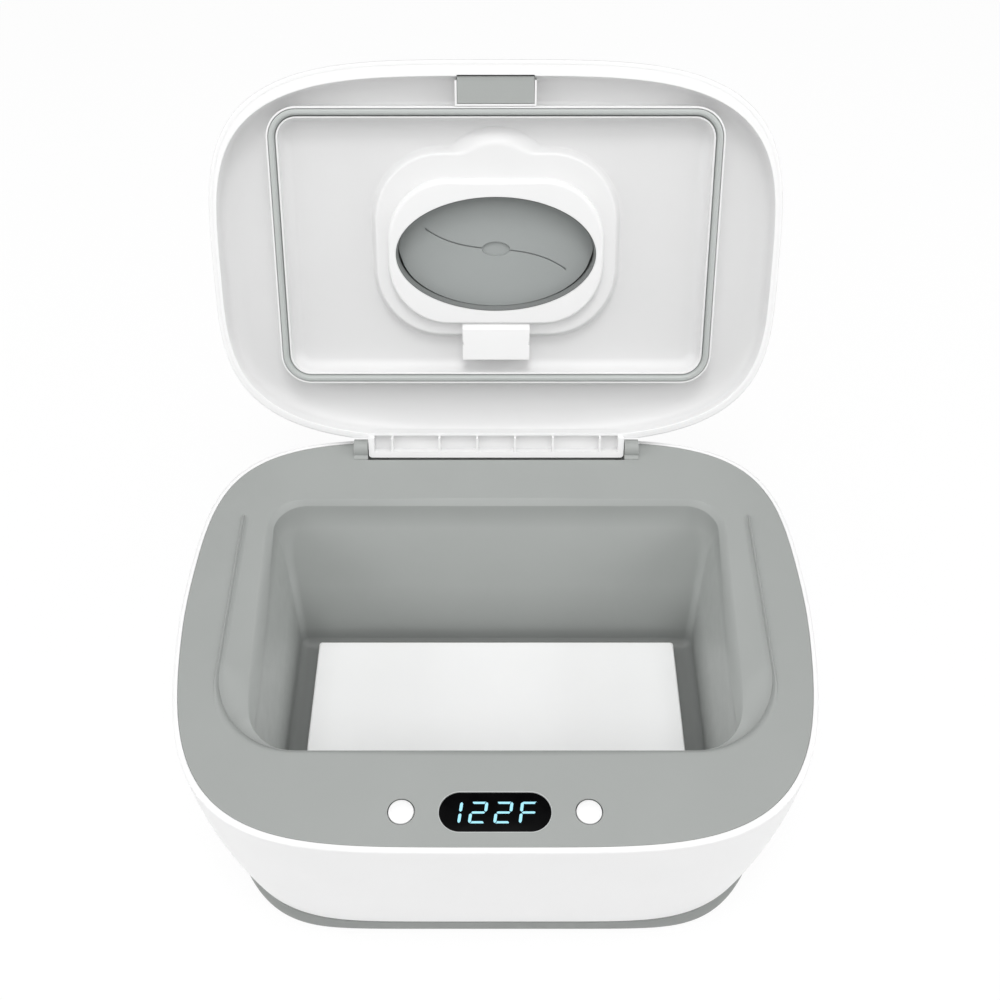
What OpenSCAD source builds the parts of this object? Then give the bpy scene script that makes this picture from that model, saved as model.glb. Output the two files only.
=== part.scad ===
// Baby wipe warmer: tapered white housing, grey deck and well in one moulding,
// a hinged lid with a dispensing flap, and the heater and control parts inside.
// Built with z = 0 on the deck and y = 0 on the widest line of the body, then
// moved so that the part stands on z = 0 with its box centred on the origin.

/* [Body] */
// Width of the body over its white rim
body_w = 240; // [225:1:260]
// How far the rim reaches in front of the widest line
body_front = 100.3; // [96:0.1:112]
// How far the rim reaches behind the widest line
body_back = 85; // [83:0.5:94]
// Squareness of the front corners
front_square = 3.5; // [3.2:0.1:4.2]
// Squareness of the back corners
back_square = 4.2; // [3.8:0.1:4.8]
// Height of the white housing
housing_h = 77; // [70:1:95]
// How far each side draws in from the rim to the seam
housing_taper = 4.2; // [2:0.2:6]
// How far the sides swell between the rim and the seam
housing_swell = 0.9; // [0:0.1:1.5]
// Wall of the white housing
housing_wall = 2.2; // [1.8:0.1:2.8]
// Width of the white rim seen round the deck
rim_w = 1.9; // [1.6:0.1:2.4]
// Height of the grey base cover below the seam
base_h = 8; // [7:0.5:12]
// Wall and floor of the base cover
base_wall = 2.2; // [1.8:0.1:2.8]
// How far the base cover draws in below the seam
base_taper = 1.6; // [0.5:0.1:3]
// Extra squareness at the foot of the base cover
base_square = 0.8; // [0:0.1:1.2]
// How far the rubber feet stand below the base cover
foot_h = 1.5; // [1:0.1:3]
// Radius of a rubber foot
foot_r = 7; // [5:0.5:9]
// Distance between left and right feet
foot_span_x = 164; // [140:2:176]
// Distance between front and back feet
foot_span_y = 112; // [96:2:124]

/* [Deck and well] */
// Thickness of the deck
deck_t = 2.4; // [2:0.1:3]
// Width of the well's mouth at its back
well_w = 180; // [168:1:184]
// How much narrower the mouth is at its front
well_narrow = 3.5; // [0:0.5:8]
// Front of the well's mouth, in front of the widest line
well_front = 60.5; // [56:0.5:62]
// Back of the well's mouth, behind the widest line
well_back = 49; // [46:0.2:50.6]
// Depth of the well below the deck
well_d = 70; // [60:1:72]
// Draft of the well's side walls
side_draft = 3.5; // [1:0.1:5]
// Draft of the well's back wall
back_draft = 18; // [10:0.5:19]
// Draft of the well's front wall
front_draft = 4; // [1:0.5:8]
// Wall of the well
well_wall = 2.2; // [1.8:0.1:2.8]
// Round of the well's back corners
well_r_back = 11; // [8:0.5:16]
// Round of the well's front corners
well_r_front = 15; // [10:0.5:20]
// Round over the mouth's edge
mouth_round = 2; // [1:0.1:2.4]
// Round at the foot of the well's walls
floor_round = 2.5; // [2:0.25:4]
// Width across the crease lines beside the well
crease_w = 204; // [200:0.5:208]
// Round of the crease at the front corners
crease_r = 31; // [24:1:34]
// Back end of the crease lines, behind the widest line
crease_back = 42.7; // [38:0.1:44]
// Height of the step along the crease
crease_step = 0.7; // [0.3:0.1:1]
// How deep the scooped shoulders lie at the well's front
scoop_d = 3.2; // [1.5:0.1:4]

/* [Controls] */
// Distance of the display and buttons in front of the widest line
control_y = 86; // [84:0.5:88]
// Length of the display window
window_l = 37.8; // [34:0.2:44]
// Width of the display window
window_w = 15.2; // [13:0.2:17]
// Thickness of the display window
window_t = 1.6; // [1:0.1:1.8]
// Distance between the button centres
button_span = 63; // [58:0.5:72]
// Radius of a button's cap
button_r = 4.3; // [3.5:0.1:5]
// Travel of a button
button_travel = 0.8; // [0.4:0.1:1.2]
// Gap round a button
button_gap = 0.3; // [0.25:0.05:0.4]
// Height of a button's dome over the deck
button_dome = 0.7; // [0.4:0.1:1.2]
// Length of the control board
board_l = 92; // [86:1:110]
// Depth of the control board
board_w = 19; // [17:0.5:20]
// Thickness of the control board
board_t = 1.6; // [1:0.1:2]

/* [Lid] */
// Width of the lid
lid_w = 227; // [216:1:232]
// How far the lid reaches in front of its widest line
lid_front = 81.9; // [79:0.1:84]
// How far the lid reaches behind its widest line
lid_back = 71; // [69:0.5:71]
// Where the lid's widest line lies behind the body's
lid_y = 5; // [4:0.5:5]
// Squareness of the lid's front corners
lid_front_square = 3.75; // [3.4:0.05:4.2]
// Squareness of the lid's back corners
lid_back_square = 3.4; // [3.1:0.1:3.8]
// Height of the lid's crown above the deck
lid_h = 23; // [21:0.5:30]
// Gap between the closed lid and the deck
lid_gap = 0.5; // [0.4:0.1:1]
// Wall of the lid's outer shell
lid_wall = 1.8; // [1.6:0.1:2.2]
// Width of the lip seen inside the lid's sides
lip_w = 3.1; // [2.8:0.1:3.6]
// Extra width of the lip at the lid's front
lip_front = 3; // [0:0.5:4]
// Height of the lid's inner ceiling above the deck
dish_z = 9; // [8:0.5:10]
// Angle of the lid when it stands open
lid_open = 118; // [100:1:118]
// Width of the ring that holds the lid seal
ring_w = 177.4; // [166:0.2:180]
// Front of the seal ring, in front of the widest line
ring_front = 60; // [54:0.2:60.4]
// Back of the seal ring, behind the widest line
ring_back = 49.4; // [44:0.2:49.8]
// Round of the seal ring's corners
ring_r = 12; // [9:0.5:14]
// Width of the seal
seal_w = 2.6; // [2:0.1:3]
// Gap left under the seal when the lid is closed
seal_gap = 0.3; // [0.2:0.05:0.6]

/* [Hinge] */
// Lid hinge axis behind the widest line
hinge_y = 78; // [77.5:0.5:78.5]
// Lid hinge axis above the deck
hinge_z = 0.8; // [0.6:0.1:1]
// Width of the lid's ribbed hinge block
block_w = 108; // [80:1:112]
// Width of a hinge ear on the deck
ear_w = 5.9; // [5:0.1:7]
// Radius of a hinge ear
ear_r = 3.9; // [3.4:0.1:4.2]
// Radius of a lid hinge pin
pin_r = 1.25; // [1:0.05:1.5]
// Running clearance round a hinge pin
pin_gap = 0.05; // [0.03:0.01:0.08]

/* [Dispenser] */
// Width of the flap's pocket
pocket_w = 99.8; // [94:0.2:104]
// Front of the flap's pocket, in front of the widest line
pocket_front = 43.7; // [41:0.1:45]
// Back of the flap's pocket, behind the widest line
pocket_back = 38; // [36:0.5:40]
// Round of the pocket's corners
pocket_r = 28; // [22:1:32]
// Width of the finger bay at the pocket's front
bay_w = 36; // [28:1:44]
// How far the finger bay reaches in front of the pocket
bay_l = 7.8; // [5:0.2:9]
// Depth of the pocket below the lid's crown
pocket_d = 5.5; // [5:0.1:6]
// Gap round the flap
flap_gap = 0.5; // [0.4:0.1:0.8]
// Thickness of the flap
flap_t = 2.4; // [2:0.1:2.6]
// Angle through which the flap opens
flap_open = 100; // [60:5:105]
// Width of the boss that carries the raised frame
boss_w = 99.4; // [96:0.2:104]
// Front of the boss, in front of the widest line
boss_front = 44.2; // [42:0.1:46]
// Back of the boss, behind the widest line
boss_back = 31; // [29:0.5:34]
// How far the boss stands out of the lid's inner ceiling
boss_h = 4.4; // [3.4:0.1:5]
// How far the boss's sides draw in
boss_draft = 2.4; // [1:0.1:3]
// Width of the raised frame round the dispenser
frame_w = 86; // [85:0.2:90]
// Depth of the raised frame round the dispenser
frame_l = 57.2; // [55:0.2:60]
// Where the frame's centre lies in front of the widest line
frame_y = 4.4; // [3.6:0.1:5]
// Round of the frame's corners
frame_r = 24; // [16:1:26]
// Round along the frame's edge
frame_round = 2; // [0.6:0.1:2.2]
// Height of the frame's face above the deck
frame_z = 1.2; // [1:0.1:3]
// Length of the oval opening
oval_l = 80; // [72:0.2:80.6]
// Width of the oval opening
oval_w = 45.2; // [38:0.2:46]
// Where the oval's centre lies in front of the widest line
oval_y = 3.7; // [2.8:0.1:4.4]
// How far the insert stays clear of the oval at its two ends
oval_side_gap = 0.9; // [0.1:0.1:1.2]
// Depth of the membrane behind the frame's face
membrane_d = 7.6; // [5:0.1:9]
// Thickness of the slit membrane
membrane_t = 1.5; // [1:0.1:2]
// Width of the slit in the membrane
slit_w = 0.5; // [0.4:0.1:1]

/* [Heater] */
// Length of the aluminium heater plate
plate_l = 150; // [120:2:156]
// Depth of the aluminium heater plate
plate_w = 66; // [56:1:70]
// Thickness of the aluminium heater plate
plate_t = 1.2; // [0.8:0.1:1.5]
// Thickness of the heater film
film_t = 0.4; // [0.3:0.1:0.6]
// Thickness of the insulation board
insulation_t = 3; // [2:0.5:3.5]
// Thickness of the white pad on the well's floor
pad_t = 6; // [3:0.5:12]
// Length of the white pad
pad_l = 155; // [140:1:158]
// Depth of the white pad
pad_w = 75; // [60:1:76]
// Radius of the power jack's barrel
jack_r = 4; // [3.5:0.1:4.5]
// Radius of the power jack's socket
jack_bore_r = 2.75; // [2.5:0.05:3]
// Height of the power jack above the seam
jack_z = 14; // [12:0.5:24]

/* [Hidden] */

eps = 0.01;
ring_n = 96;            // points round a superellipse outline
corner_n = 8;           // steps round a corner of a rounded outline
fit = 0.1;              // gap between pieces that are glued or trapped together
clear = 0.3;            // gap between pieces that move past each other
round_fn = 48;

white = [0.95, 0.95, 0.94];
grey = [0.66, 0.67, 0.66];
silicone = [0.62, 0.64, 0.63];

// ---------- outlines and lofts ----------

// Superellipse ring: half width a, front reach f, back reach b, centre line cy
function squircle(a, f, b, nf, nb, cy, z) =
    [for (i = [0 : ring_n - 1])
        let (t = 360 * i / ring_n, c = cos(t), s = sin(t), n = s < 0 ? nf : nb, r = s < 0 ? f : b)
        [a * sign(c) * pow(abs(c), 2 / n), cy + r * sign(s) * pow(abs(s), 2 / n), z]];

// Rounded four-sided ring: half widths xb and xf at the back yb and front yf
function rounded(xb, xf, yb, yf, rb, rf, z) =
    [for (q = [[xb - rb, yb - rb, rb, 0], [-xb + rb, yb - rb, rb, 90],
               [-xf + rf, yf + rf, rf, 180], [xf - rf, yf + rf, rf, 270]])
        for (i = [0 : corner_n])
            let (t = q[3] + 90 * i / corner_n)
            [q[0] + q[2] * cos(t), q[1] + q[2] * sin(t), z]];

function lowered(ring, dz) = [for (p = ring) [p[0], p[1], p[2] - dz]];
function flat(ring) = [for (p = ring) [p[0], p[1]]];

// Solid through a stack of rings, from the lowest to the highest
module loft(rings) {
    n = len(rings[0]);
    m = len(rings);
    sides = [for (j = [0 : m - 2], i = [0 : n - 1])
        let (k = (i + 1) % n)
        each [[j * n + i, (j + 1) * n + k, j * n + k], [j * n + i, (j + 1) * n + i, (j + 1) * n + k]]];
    polyhedron(points = [for (r = rings) each r],
               faces = concat([[for (i = [0 : n - 1]) i]], sides,
                              [[for (i = [n - 1 : -1 : 0]) (m - 1) * n + i]]));
}

// Bar with round ends, along x
module pill(l, w, h) {
    for (s = [-1, 1]) translate([s * (l - w) / 2, 0, 0]) cylinder(d = w, h = h, $fn = round_fn);
    translate([-(l - w) / 2, -w / 2, 0]) cube([l - w, w, h]);
}

// Cylinder along x between two x positions, at a y and z
module rod_x(x0, x1, y, z, r) {
    translate([x0, y, z]) rotate([0, 90, 0]) cylinder(r = r, h = x1 - x0, $fn = round_fn);
}

// Wire of eight sides through a list of points; skew sets how its rings are turned
function unit(v) = v / norm(v);
function heading(q, i) = i == 0 ? unit(q[1] - q[0])
    : i == len(q) - 1 ? unit(q[i] - q[i - 1])
    : unit(unit(q[i] - q[i - 1]) + unit(q[i + 1] - q[i]));
function wire_ring(p, d, r, skew) =
    let (u = unit(cross(skew, d)), v = cross(d, u))
    [for (i = [0 : 7]) p + r * (cos(45 * i) * u + sin(45 * i) * v)];

module wire(q, r, skew) {
    loft([for (i = [0 : len(q) - 1]) wire_ring(q[i], heading(q, i), r, skew)]);
}

// Pan-head screw standing on its tip, head at the given height
module screw(shank_r, head_r, head_h, l) {
    cylinder(r = shank_r, h = l, $fn = 24);
    translate([0, 0, -head_h]) cylinder(r = head_r, h = head_h, $fn = 24);
}

module both_sides() {
    children();
    mirror([1, 0, 0]) children();
}

// ---------- body ----------

function body_ring(inset, z, square = 0) =
    squircle(body_w / 2 - inset, body_front - inset, body_back - inset,
             front_square + square, back_square + square, 0, z);
function housing_inset(d) = let (k = d / housing_h) housing_taper * k - housing_swell * 4 * k * (1 - k);

seam_z = -housing_h;
base_z = seam_z - base_h;
ground_z = base_z - foot_h;
ledge = 1.6;            // width of the ledge that carries the deck
deck_inset = rim_w + fit;
cavity_inset = rim_w + ledge;
base_inset = housing_taper + 0.4;
spigot_h = 5;
post_x = body_w / 2 - 18;
post_y = [-46, 34];
post_r = 4;
screw_r = 1.5;
floor_top = base_z + base_wall;

// Notch at the back of the deck, in which the lid's hinge block swings
block_front = 4.6;      // reach of the block in front of the hinge axis
block_back = 4.6;       // reach of the block behind the hinge axis
block_drop = 3;         // drop of the block below the hinge axis
block_rise = 4.7;       // rise of the block above the hinge axis
block_bevel = 3;        // bevel along the block's upper back edge
block_swing = max(norm([block_front, block_drop]), norm([block_back, block_drop]),
                  norm([block_back - block_bevel, block_rise]));
block_wall = 2.5;       // end walls of the block, in which the pins turn
block_arm = 6;          // reach of the arm that joins the block to the lid
notch_front = hinge_y - block_swing - clear;
notch_z = hinge_z - block_swing - clear;
notch_half = block_w / 2 + clear;

module notch(grow) {
    translate([-notch_half - grow, notch_front - grow, notch_z - grow])
        cube([2 * (notch_half + grow), body_back, body_back]);
}

module housing_solid() {
    lip = 1.1;
    loft([body_ring(housing_taper + 0.6, seam_z),
          for (k = [0.99, 0.72, 0.45, 0.2]) body_ring(housing_inset(k * housing_h), seam_z * k),
          body_ring(0, -lip), body_ring(0.3 * lip, -0.3 * lip), body_ring(0.85 * lip, 0)]);
}

jack_y = body_back - 6;  // floor of the recess round the power jack
jack_h = seam_z + jack_z;

module outer_housing() color(white) difference() {
    union() {
        difference() {
            housing_solid();
            loft([body_ring(deck_inset - fit, -deck_t), body_ring(deck_inset - fit, 1)]);
            loft([for (k = [1.01, 0.6, 0.25])
                      body_ring(housing_inset(k * housing_h) + housing_wall, seam_z * k),
                  body_ring(cavity_inset, -deck_t - 3), body_ring(cavity_inset, -deck_t + eps)]);
        }
        intersection() {
            housing_solid();
            translate([0, jack_y - 2, jack_h]) rotate([-90, 0, 0]) cylinder(r = 10, h = 12, $fn = round_fn);
        }
    }
    translate([0, jack_y, jack_h]) rotate([-90, 0, 0]) cylinder(r = 8, h = 20, $fn = round_fn);
    translate([0, jack_y - 5, jack_h]) rotate([-90, 0, 0])
        cylinder(r = jack_r + fit, h = 20, $fn = round_fn);
    notch(well_wall + fit);
}

foot_x = foot_span_x / 2;
foot_y = [-foot_span_y / 2 - 8, foot_span_y / 2 - 8];
foot_pocket = 0.8;

module at_feet() {
    for (x = [-foot_x, foot_x], y = foot_y) translate([x, y, base_z]) children();
}

module at_posts() {
    for (x = [-post_x, post_x], y = post_y) translate([x, y, 0]) children();
}

stack_x = plate_l / 2 - 12;
stack_y = plate_w / 2 - 12;

module base_cover() color(grey) difference() {
    union() {
        loft([body_ring(base_inset + base_taper + 0.8, base_z, base_square),
              body_ring(base_inset + base_taper, base_z + 0.8, base_square),
              body_ring(base_inset + base_taper * 0.4, base_z + base_h * 0.55, base_square * 0.5),
              body_ring(base_inset, seam_z)]);
        loft([body_ring(housing_taper + housing_wall + fit, seam_z - eps),
              body_ring(housing_taper + housing_wall + fit, seam_z + spigot_h)]);
    }
    difference() {
        loft([body_ring(housing_taper + housing_wall + base_wall, floor_top),
              body_ring(housing_taper + housing_wall + base_wall, seam_z + spigot_h + 1)]);
        at_posts() translate([0, 0, floor_top - 1]) cylinder(r = post_r, h = base_post + 1, $fn = round_fn);
        for (x = [-stack_x, stack_x], y = [-stack_y, stack_y])
            translate([x, plate_y + y, floor_top - 1]) cylinder(r = 3, h = pillar_h + 1, $fn = round_fn);
        translate([0, plate_y, 0]) for (i = [-3 : 3])
            translate([i * 18 - 0.8, -plate_w / 2, floor_top - 1]) cube([1.6, plate_w, 2.2]);
    }
    at_feet() translate([0, 0, -1]) cylinder(r = foot_r + fit, h = foot_pocket + 1, $fn = round_fn);
    at_posts() {
        translate([0, 0, base_z - 1]) cylinder(r = screw_r + 0.2, h = 20, $fn = 32);
        translate([0, 0, base_z - 1]) cylinder(r = 3.2, h = 1 + screw_sink, $fn = 32);
    }
    translate([0, plate_y, base_z - 1]) for (i = [-4 : 4])
        translate([i * 12, 0, 0]) pill_y(16, 2.4, 1 + base_wall + 1);
}

// Bar with round ends, along y
module pill_y(l, w, h) {
    rotate([0, 0, 90]) pill(l, w, h);
}

base_post = 3;
screw_sink = 1.8;
base_screw_l = base_h + 4;

module rubber_feet() color([0.3, 0.31, 0.31]) at_feet()
    translate([0, 0, -foot_h]) {
        cylinder(r1 = foot_r - 0.6, r2 = foot_r, h = 0.6, $fn = round_fn);
        translate([0, 0, 0.6]) cylinder(r = foot_r, h = foot_h + foot_pocket - 0.6, $fn = round_fn);
    }

module base_screws() color([0.7, 0.7, 0.72]) at_posts()
    translate([0, 0, base_z + screw_sink]) screw(screw_r - fit, 2.8, 1.6, base_screw_l);

// ---------- deck and well ----------

crease_end = 4;         // length over which the crease's step fades out at its back end

// Well ring at a depth; grow makes the outside of the well's wall
function mouth_grow(d) = d >= mouth_round ? 0
    : mouth_round - sqrt(max(0, pow(mouth_round, 2) - pow(mouth_round - d, 2)));
function floor_shrink(d) = d <= well_d - floor_round ? 0
    : floor_round - sqrt(max(0, pow(floor_round, 2) - pow(d - well_d + floor_round, 2)));
function well_ring(d, grow = 0) =
    let (g = mouth_grow(d) - floor_shrink(d) + grow,
         xb = well_w / 2 - d * tan(side_draft) + g,
         xf = xb - well_narrow * (1 - d / well_d),
         yb = well_back - d * tan(back_draft) + g,
         yf = -well_front + d * tan(front_draft) - g)
    rounded(xb, xf, yb, yf, well_r_back + grow, well_r_front + grow, -d);

// Scooped shoulders: they start with a step on the crease and fall to the mouth, more at the front
function crease_ring(dz, grow = 0) =
    rounded(crease_w / 2 + grow, crease_w / 2 - 1 + grow, crease_back, -well_front - 0.2 - grow,
            crease_end, crease_r + grow, dz);
function crease_foot(dz, grow = 0) =
    [for (p = crease_ring(dz, grow)) [p[0], p[1], dz - crease_step * min(1, (crease_back - p[1]) / crease_end)]];
function fall(y) = let (k = (crease_back - y) / (crease_back + well_front)) scoop_d * min(1, 1.6 * k);
function shoulder_ring(dz, grow = 0) =
    [for (p = rounded(well_w / 2 + 0.5 + grow, (well_w - 2 * well_narrow) / 2 + 1.5 + grow, crease_back - 1,
                      -well_front + 0.4 - grow, crease_end, well_r_front + grow, 0))
        [p[0], p[1], dz - fall(p[1])]];
function inner_ring(z) =
    rounded(well_w / 2 - 20, well_w / 2 - 20, well_back - 20, -well_front + 20, 4, well_r_front, z);

module scoop(dz, grow, top) {
    loft([inner_ring(-scoop_d - 6 + dz), shoulder_ring(dz, grow), crease_foot(dz - eps, grow),
          crease_ring(top, grow)]);
}

well_steps = [for (k = [1, 0.7, 0.4]) well_d - floor_round * (1 - k)];
mouth_steps = [for (k = [1, 0.6, 0.3, 0.1]) mouth_round * k];

module well_cut() {
    loft([for (d = well_steps) well_ring(d),
          well_ring(well_d - floor_round),
          for (d = mouth_steps) well_ring(d),
          well_ring(0), well_ring(-1)]);
}

module well_outside() {
    loft([lowered(well_ring(well_d, well_wall), well_wall),
          lowered(well_ring(well_d - floor_round * 0.4, well_wall), well_wall),
          well_ring(well_d - floor_round, well_wall), well_ring(mouth_round, well_wall)]);
}

// Hinge ears on the deck, left and right of the notch
module ear(x0) {
    rod_x(x0, x0 + ear_w, hinge_y, hinge_z, ear_r);
    translate([x0, hinge_y - ear_r - 0.7, -deck_t]) cube([ear_w, 2 * ear_r + 0.7, deck_t + hinge_z]);
}

board_x = board_l / 2 - 6;
board_top = -11;
board_bottom = board_top - board_t;
board_y = -control_y + 1.5;

module at_board_posts() {
    for (x = [-board_x, board_x]) translate([x, board_y, 0]) children();
}

module tub_deck() color(grey) difference() {
    union() {
        translate([0, 0, -deck_t]) linear_extrude(deck_t) polygon(flat(body_ring(deck_inset, 0)));
        intersection() {
            scoop(-deck_t, deck_t, -1);
            translate([-body_w / 2, -body_front, -20]) cube([body_w, body_front + crease_back, 20 - 1]);
        }
        well_outside();
        intersection() {
            notch(well_wall);
            translate([0, 0, -20]) linear_extrude(20) polygon(flat(body_ring(deck_inset, 0)));
        }
        both_sides() ear(notch_half);
        at_posts() translate([0, 0, floor_top + base_post])
            cylinder(r = post_r, h = -floor_top - base_post - 1, $fn = round_fn);
        at_board_posts() translate([0, 0, board_top]) cylinder(r = 3, h = -board_top - 1, $fn = round_fn);
        at_plate_screws() translate([0, 0, plate_top - plate_t + fit])
            cylinder(r = plate_boss_r, h = plate_t + 1, $fn = round_fn);
    }
    scoop(0, 0, 1);
    well_cut();
    notch(0);
    translate([0, -control_y, 0]) {
        translate([0, 0, -window_t - 0.2]) pill(window_l, window_w, 5);
        translate([0, 0, -deck_t - 1]) pill(window_l - 4, window_w - 4, 5);
        both_sides() translate([button_span / 2, 0, 0]) {
            translate([0, 0, -deck_t - 1]) cylinder(r = button_r + button_gap, h = 5, $fn = round_fn);
            translate([0, 0, -0.3]) cylinder(r = button_r + button_gap + 0.5, h = 1, $fn = round_fn);
        }
    }
    at_posts() translate([0, 0, floor_top]) cylinder(r = screw_r, h = 16, $fn = 32);
    at_board_posts() translate([0, 0, board_top - 1]) cylinder(r = 1, h = 7, $fn = 24);
    at_plate_screws() translate([0, 0, film_top - 1]) cylinder(r = 1, h = plate_screw_l + 1.2, $fn = 24);
    both_sides() rod_x(notch_half - 1, notch_half + ear_w - 1, hinge_y, hinge_z, pin_r + pin_gap);
}

// Middle of the flat part of the well's floor
floor_back = well_back - well_d * tan(back_draft) - floor_round;
floor_front = -well_front + well_d * tan(front_draft) + floor_round;
floor_mid = (floor_back + floor_front) / 2;

// White pad on the well's floor
pad_r = 0.8;
module moisture_pad() color([0.97, 0.97, 0.96])
    translate([0, floor_mid, -well_d]) linear_extrude(pad_t)
        polygon(flat(rounded(pad_l / 2, pad_l / 2, pad_w / 2, -pad_w / 2, pad_r, pad_r, 0)));

// ---------- heater under the well ----------

plate_y = floor_mid;
plate_top = -well_d - well_wall;
plate_screw_x = plate_l / 2 - 5;
plate_boss_r = 2.2;
plate_screw_l = plate_t + 1;
module at_plate_screws() {
    for (x = [-plate_screw_x, plate_screw_x]) translate([x, plate_y, 0]) children();
}
film_top = plate_top - plate_t;
insulation_top = film_top - film_t;
insulation_bottom = insulation_top - insulation_t;
pillar_h = insulation_bottom - floor_top;

module heater_plate() color([0.8, 0.81, 0.82]) difference() {
    translate([-plate_l / 2, plate_y - plate_w / 2, film_top]) cube([plate_l, plate_w, plate_t]);
    at_plate_screws() translate([0, 0, film_top - 1]) cylinder(r = plate_boss_r + fit, h = plate_t + 2, $fn = 32);
}

// Heater film with two tails that carry its leads
film_margin = 10;
film_edge = 5;
tail_x = 40;
tail_w = 7;
tail_l = 4;
tail_y = plate_y - plate_w / 2 + film_edge - tail_l;
module heater_film() color([0.78, 0.5, 0.22]) {
    translate([-plate_l / 2 + film_margin, plate_y - plate_w / 2 + film_edge, insulation_top])
        cube([plate_l - 2 * film_margin, plate_w - 2 * film_edge, film_t]);
    both_sides() translate([tail_x - tail_w / 2, tail_y, insulation_top]) cube([tail_w, tail_l + 1, film_t]);
}

module heater_screws() color([0.7, 0.7, 0.72])
    at_plate_screws() translate([0, 0, film_top]) screw(0.9, 3.4, 1, plate_screw_l);

sensor_slot_w = 6;
sensor_y = [-14, 12];
module insulation_board() color([0.86, 0.85, 0.8]) difference() {
    translate([-plate_l / 2 + film_margin, plate_y - plate_w / 2 + film_edge, insulation_bottom])
        cube([plate_l - 2 * film_margin, plate_w - 2 * film_edge, insulation_t]);
    for (y = sensor_y) translate([-12, plate_y + y - sensor_slot_w / 2, insulation_bottom - 1])
        cube([24, sensor_slot_w, insulation_t + 2]);
}

sensor_r = 1.2;
module thermal_fuse() color([0.75, 0.7, 0.6])
    translate([0, plate_y + sensor_y[0], insulation_top - sensor_r]) {
        rod_x(-5, 5, 0, 0, sensor_r);
        rod_x(-11, 11, 0, 0, 0.35);
    }
module thermistor() color([0.25, 0.25, 0.25])
    translate([0, plate_y + sensor_y[1], insulation_top - sensor_r]) {
        sphere(r = sensor_r, $fn = 24);
        rod_x(-11, 0, -0.5, 0, 0.3);
        rod_x(-11, 0, 0.5, 0, 0.3);
    }

lead_r = 0.7;
lead_x = 24;
module heater_leads() color([0.75, 0.15, 0.12])
    for (s = [-1, 1])
        wire([[s * tail_x, tail_y + 2, insulation_top - lead_r - 0.05],
              [s * tail_x, -well_front - 4, insulation_top - lead_r - 0.05],
              [s * tail_x, -well_front - 8, insulation_top + 4],
              [s * (lead_x + 8), -well_front - 9, seam_z / 2],
              [s * lead_x, board_y, board_bottom - 12],
              [s * lead_x, board_y, board_bottom - 0.05]], lead_r, [1, 0, 0]);

// ---------- controls ----------

chip_l = board_w / 2;
capacitor_x = board_l * 0.16;
capacitor_r = board_w * 0.16;
capacitor_h = board_w * 0.37;
module control_board() color([0.1, 0.4, 0.22]) difference() {
    union() {
        translate([-board_l / 2, board_y - board_w / 2, board_bottom]) cube([board_l, board_w, board_t]);
        translate([-chip_l / 2, board_y - chip_l / 2, board_bottom - board_t])
            cube([chip_l, chip_l, board_t + eps]);
        for (x = [-capacitor_x, capacitor_x]) translate([x, board_y, board_bottom - capacitor_h])
            cylinder(r = capacitor_r, h = capacitor_h + eps, $fn = 32);
    }
    at_board_posts() translate([0, 0, board_bottom - 1]) cylinder(r = 1.2, h = board_t + 2, $fn = 24);
}

module board_screws() color([0.7, 0.7, 0.72]) at_board_posts()
    translate([0, 0, board_bottom]) screw(0.9, 2, 1.2, board_t + 4.4);

module_margin = 3;
module display_module() color([0.15, 0.15, 0.16])
    translate([-(window_l - 4) / 2 + module_margin / 2, -control_y - (window_w - 4) / 2 + 0.4, board_top])
        cube([window_l - 4 - module_margin, window_w - 4.8, -board_top - deck_t - fit]);

module display_window() color([0.03, 0.03, 0.035])
    translate([0, -control_y, -window_t - 0.2]) {
        pill(window_l - 2 * fit, window_w - 2 * fit, window_t);
    }

switch_l = button_r * 1.4;
switch_h = 3.5;
stem_z = board_top + switch_h + 0.6 + button_travel + 0.1;
module tact_switches() color([0.2, 0.2, 0.21]) both_sides()
    translate([button_span / 2, -control_y, board_top]) {
        translate([-switch_l / 2, -switch_l / 2, 0]) cube([switch_l, switch_l, switch_h]);
        translate([0, 0, switch_h - eps]) cylinder(r = 1.6, h = 0.6, $fn = 32);
    }

// Cap with a low dome, a stem and a flange that stops it under the deck
module button(x) color(white) translate([x, -control_y, 0]) {
    flange_top = -deck_t - clear;
    dome_r = (pow(button_r - 0.4, 2) + pow(button_dome, 2)) / (2 * button_dome);
    rotate_extrude($fn = 64) polygon(concat(
        [[0, stem_z], [2, stem_z], [2, flange_top - 1.2], [button_r + 1, flange_top - 1.2],
         [button_r + 1, flange_top], [button_r, flange_top], [button_r, -0.1], [button_r - 0.1, 0.05]],
        [for (k = [1 : -0.125 : 0])
            let (r = (button_r - 0.4) * k)
            [r, 0.2 + button_dome - dome_r + sqrt(dome_r * dome_r - r * r)]]));
}
module left_button() button(-button_span / 2);
module right_button() button(button_span / 2);

// Power jack in its round recess at the back
jack_flange = 2;
jack_l = 13;
module dc_jack() color([0.12, 0.12, 0.13])
    translate([0, jack_y, jack_h]) rotate([-90, 0, 0]) {
        difference() {
            union() {
                cylinder(r = jack_r + 2.6, h = jack_flange, $fn = round_fn);
                translate([0, 0, -jack_l]) cylinder(r = jack_r, h = jack_l + 1, $fn = round_fn);
            }
            translate([0, 0, -jack_l + 3]) cylinder(r = jack_bore_r, h = jack_l + 5, $fn = round_fn);
        }
        translate([0, 0, -jack_l + 2]) cylinder(r = 1, h = jack_l - 1, $fn = 24);
    }

module jack_nut() color([0.75, 0.75, 0.77])
    translate([0, jack_y - 2 - 2.5, jack_h]) rotate([-90, 0, 0]) difference() {
        cylinder(r = jack_r + 3, h = 2.5, $fn = 6);
        translate([0, 0, -1]) cylinder(r = jack_r + 0.05, h = 5, $fn = round_fn);
    }

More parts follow.
